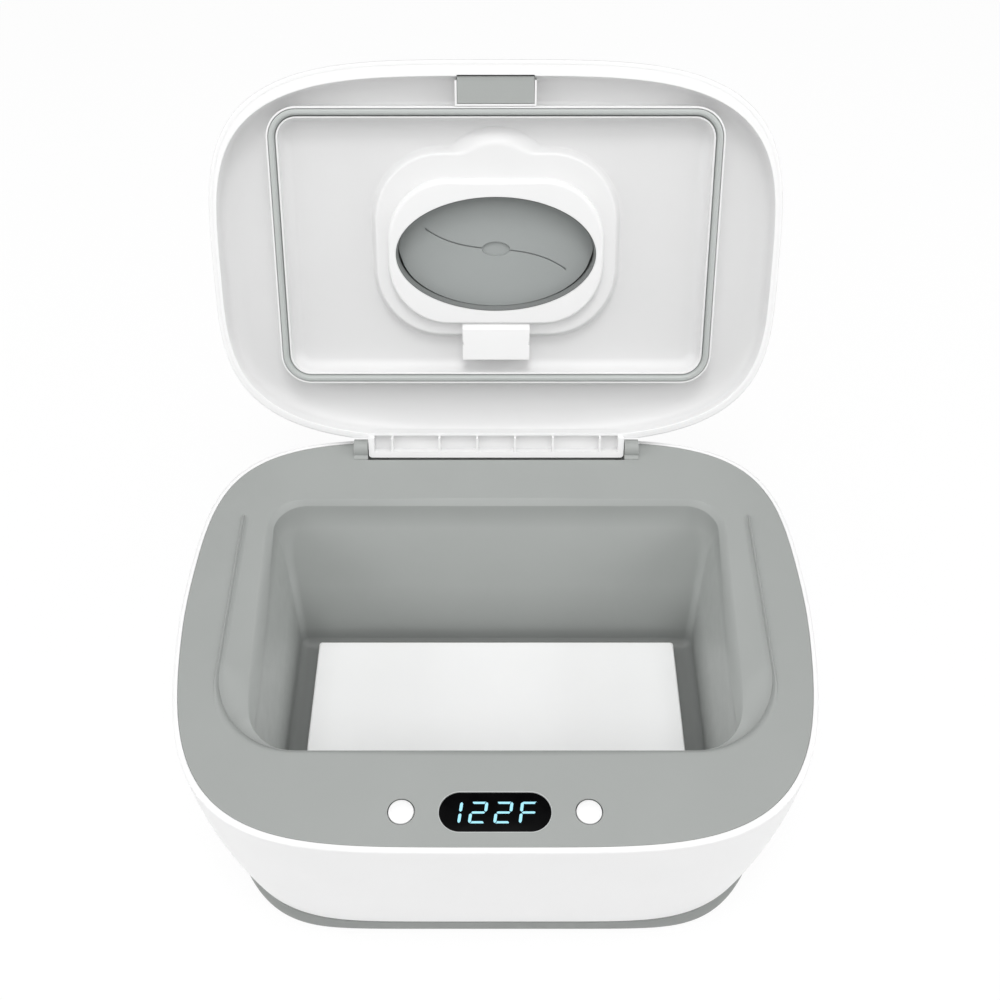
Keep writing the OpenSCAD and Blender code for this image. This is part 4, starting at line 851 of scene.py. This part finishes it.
def disc_ring(g, z):
    """Edge of the membrane: clear of the collar at both ends on the side next to the hinge."""
    return lift(np.stack([(disc_side - g) * LID.out[:, 0], OVAL_Y + (22.1 - g) * LID.out[:, 1]], 1), z)


disc = [(3.3, 14.9), (3.3, MEMBRANE_Z + 2.4), (0, MEMBRANE_Z + 2.2), (0, MEMBRANE_Z + 0.3),
        (0.08, MEMBRANE_Z + 0.08), (0.3, MEMBRANE_Z)]
insert = combine(insert, [loft("cut", [disc_ring(g, z) for g, z in disc])], "UNION")
SLIT_Y = -4.8


def slit_at(x):
    """Point on the slit's S curve."""
    return np.array([x, 0.075 * x + 0.00026 * x ** 3 + SLIT_Y])


cuts = []
for s in (-1, 1):
    xs = np.concatenate([np.linspace(5.4, 27.2, 21), [27.6, 28.1, 28.5]])
    half_w = 0.27 * np.ones(24)
    half_w[-3:] = (0.45, 0.55, 0.3)
    upper = [slit_at(s * x) + np.array([0, h]) for x, h in zip(xs, half_w)]
    lower = [slit_at(s * x) - np.array([0, h]) for x, h in zip(xs, half_w)]
    cuts.append(prism(np.array(upper + lower[::-1]), MEMBRANE_Z - 1, MEMBRANE_Z + 0.9))
dimple = [lift(ellipse(5.7 - g, 2.95 - g, SLIT_Y, 64), z) for g, z in
          ((-0.25, MEMBRANE_Z - 0.5), (0, MEMBRANE_Z + 0.05), (0.2, MEMBRANE_Z + 1.1))]
cuts.append(loft("cut", dimple))
insert = combine(insert, cuts)
dress(insert, PLACE_LID, "lid", CUP, ["dispenser_insert"])

# Flap over the dispenser
FLAP_GAP = 0.5


def flap_ring(g, z):
    """The flap's outline: the pocket's, less a gap, and drawn in behind so that it can swing."""
    square = LID.reach(rounded(49.4 + g, 49.4 + g, 34.7 + g, -51.5 - g, 36 + g, 2))
    pocket = np.hypot(*(pocket_ring(g - FLAP_GAP, 0)[:, :2] - LID.centre).T)
    return lift(LID.at(np.minimum(square, pocket)), z)


def skirt_ring(g, z):
    square = LID.reach(rounded(60, 60, 31.8 + (g + 1.5 if g < -1.5 else 0), -60, 1, 1))
    pocket = np.hypot(*(pocket_ring(g, 0)[:, :2] - LID.centre).T)
    return lift(LID.at(np.minimum(square, pocket)), z)


rings = [flap_ring(-g, z) for g, z in ((3, 22.6), (0.8, 22.58), (0.25, 22.4), (0, 21.9), (0, 20.5), (0.3, 20.22),
                                       (0.6, 20.2))]
rings += [skirt_ring(-1.5, 20.2), skirt_ring(-1.5, 18.0), skirt_ring(-1.7, 17.82), skirt_ring(-2.9, 17.82),
          skirt_ring(-3.1, 18.0), skirt_ring(-3.1, 20.2), skirt_ring(-20, 20.2)]
flap = loft("flap_cover", rings)
flap = combine(flap, [rod(-LUG_X + 0.3, LUG_X - 0.3, FLAP_Y, FLAP_Z, 2.0)], "UNION")
lug_room = [sorted((s * (LUG_X - 0.3), s * (LUG_X + LUG_W + 0.3))) for s in (-1, 1)]
flap = combine(flap, [block(*room, FLAP_Y - 2.9, FLAP_Y + 4, 16.5, 30) for room in lug_room])
flap = combine(flap, [rod(-LUG_X - 1, LUG_X + 1, FLAP_Y, FLAP_Z, 0.95, 48)])
dress(flap, PLACE_LID, "flap", LID_WHITE, ["dispenser_flap"])


# ---------- stage, light and camera ----------

WHITE_SHARE = 0.9       # of what the camera sees of the floor; the rest is lit, and holds the shadow


def pale_material(name, shade, glow_strength):
    """Backdrop: plain white to the camera and in reflections, with a trace of the object's shadow."""
    mat = bpy.data.materials.new(name)
    mat.use_nodes = True
    tree = mat.node_tree
    tree.nodes.clear()
    add, link = tree.nodes.new, tree.links.new
    out, mix = add("ShaderNodeOutputMaterial"), add("ShaderNodeMixShader")
    matt, light, path = add("ShaderNodeBsdfDiffuse"), add("ShaderNodeEmission"), add("ShaderNodeLightPath")
    matt.inputs["Color"].default_value = shade
    light.inputs["Strength"].default_value = glow_strength
    both, most = add("ShaderNodeMath"), add("ShaderNodeMath")
    both.operation, most.operation = "MAXIMUM", "MULTIPLY"
    link(path.outputs["Is Camera Ray"], both.inputs[0])
    link(path.outputs["Is Glossy Ray"], both.inputs[1])
    link(both.outputs[0], most.inputs[0])
    most.inputs[1].default_value = WHITE_SHARE
    link(most.outputs[0], mix.inputs["Fac"])
    link(matt.outputs[0], mix.inputs[1])
    link(light.outputs[0], mix.inputs[2])
    link(mix.outputs[0], out.inputs["Surface"])
    mat.cycles.emission_sampling = "NONE"
    return mat


floor = mesh_object("floor", [(-3, -3, 0), (3, -3, 0), (3, 3, 0), (-3, 3, 0)], [(0, 1, 2, 3)])
floor.data.materials.append(pale_material("floor_white", (0.86, 0.86, 0.86, 1), 1.02))

world = bpy.data.worlds.new("studio")
bpy.context.scene.world = world
world.use_nodes = True
tree = world.node_tree
sky = tree.nodes["Background"]
seen = tree.nodes.new("ShaderNodeBackground")
seen.inputs["Color"].default_value = (1, 1, 1, 1)
seen.inputs["Strength"].default_value = 1.0
sky.inputs["Color"].default_value = (1, 1, 1, 1)
sky.inputs["Strength"].default_value = 0.1
path = tree.nodes.new("ShaderNodeLightPath")
mix = tree.nodes.new("ShaderNodeMixShader")
either = tree.nodes.new("ShaderNodeMath")
either.operation = "MAXIMUM"
tree.links.new(path.outputs["Is Camera Ray"], either.inputs[0])
tree.links.new(path.outputs["Is Transmission Ray"], either.inputs[1])
tree.links.new(either.outputs[0], mix.inputs["Fac"])
tree.links.new(sky.outputs[0], mix.inputs[1])
tree.links.new(seen.outputs[0], mix.inputs[2])
tree.links.new(mix.outputs[0], tree.nodes["World Output"].inputs["Surface"])

AIM = (0, 0, 0.05)


def softbox(name, place, size, power):
    light = bpy.data.lights.new(name, "AREA")
    light.shape, light.size, light.size_y, light.energy = "RECTANGLE", size[0], size[1], power
    obj = bpy.data.objects.new(name, light)
    obj.location = place
    obj.rotation_mode = "QUATERNION"
    obj.rotation_quaternion = (Vector(AIM) - Vector(place)).to_track_quat("-Z", "Y")
    bpy.context.scene.collection.objects.link(obj)


softbox("above", (0, -0.02, 1.5), (1.2, 1.0), 7.5)
softbox("into_well", (0, -0.12, 1.6), (0.35, 0.35), 3.2)
softbox("camera_side", (0, -0.7, 1.3), (1.0, 0.6), 3.7)
softbox("front_low", (0, -1.5, 0.3), (1.8, 0.5), 2.4)
for side in (-1, 1):
    softbox("side", (1.25 * side, -0.1, 0.75), (1.0, 0.8), 5.6)
    softbox("corner", (0.9 * side, -0.9, 0.8), (0.9, 0.9), 3.3)

camera = bpy.data.cameras.new("camera")
camera.lens, camera.sensor_width = 41.4, 36.0
camera_obj = bpy.data.objects.new("camera", camera)
CAMERA_X, CAMERA_AHEAD, CAMERA_UP, CAMERA_TILT = 1.63, 153.1, 361.7, 40.0
camera_obj.location = (CAMERA_X * MM, HOUSING_LOW.y - CAMERA_AHEAD * MM, HOUSING_HIGH.z + CAMERA_UP * MM)
camera_obj.rotation_euler = (math.radians(CAMERA_TILT), 0, 0)
bpy.context.scene.collection.objects.link(camera_obj)
bpy.context.scene.camera = camera_obj
bpy.context.scene.view_settings.view_transform = "Standard"
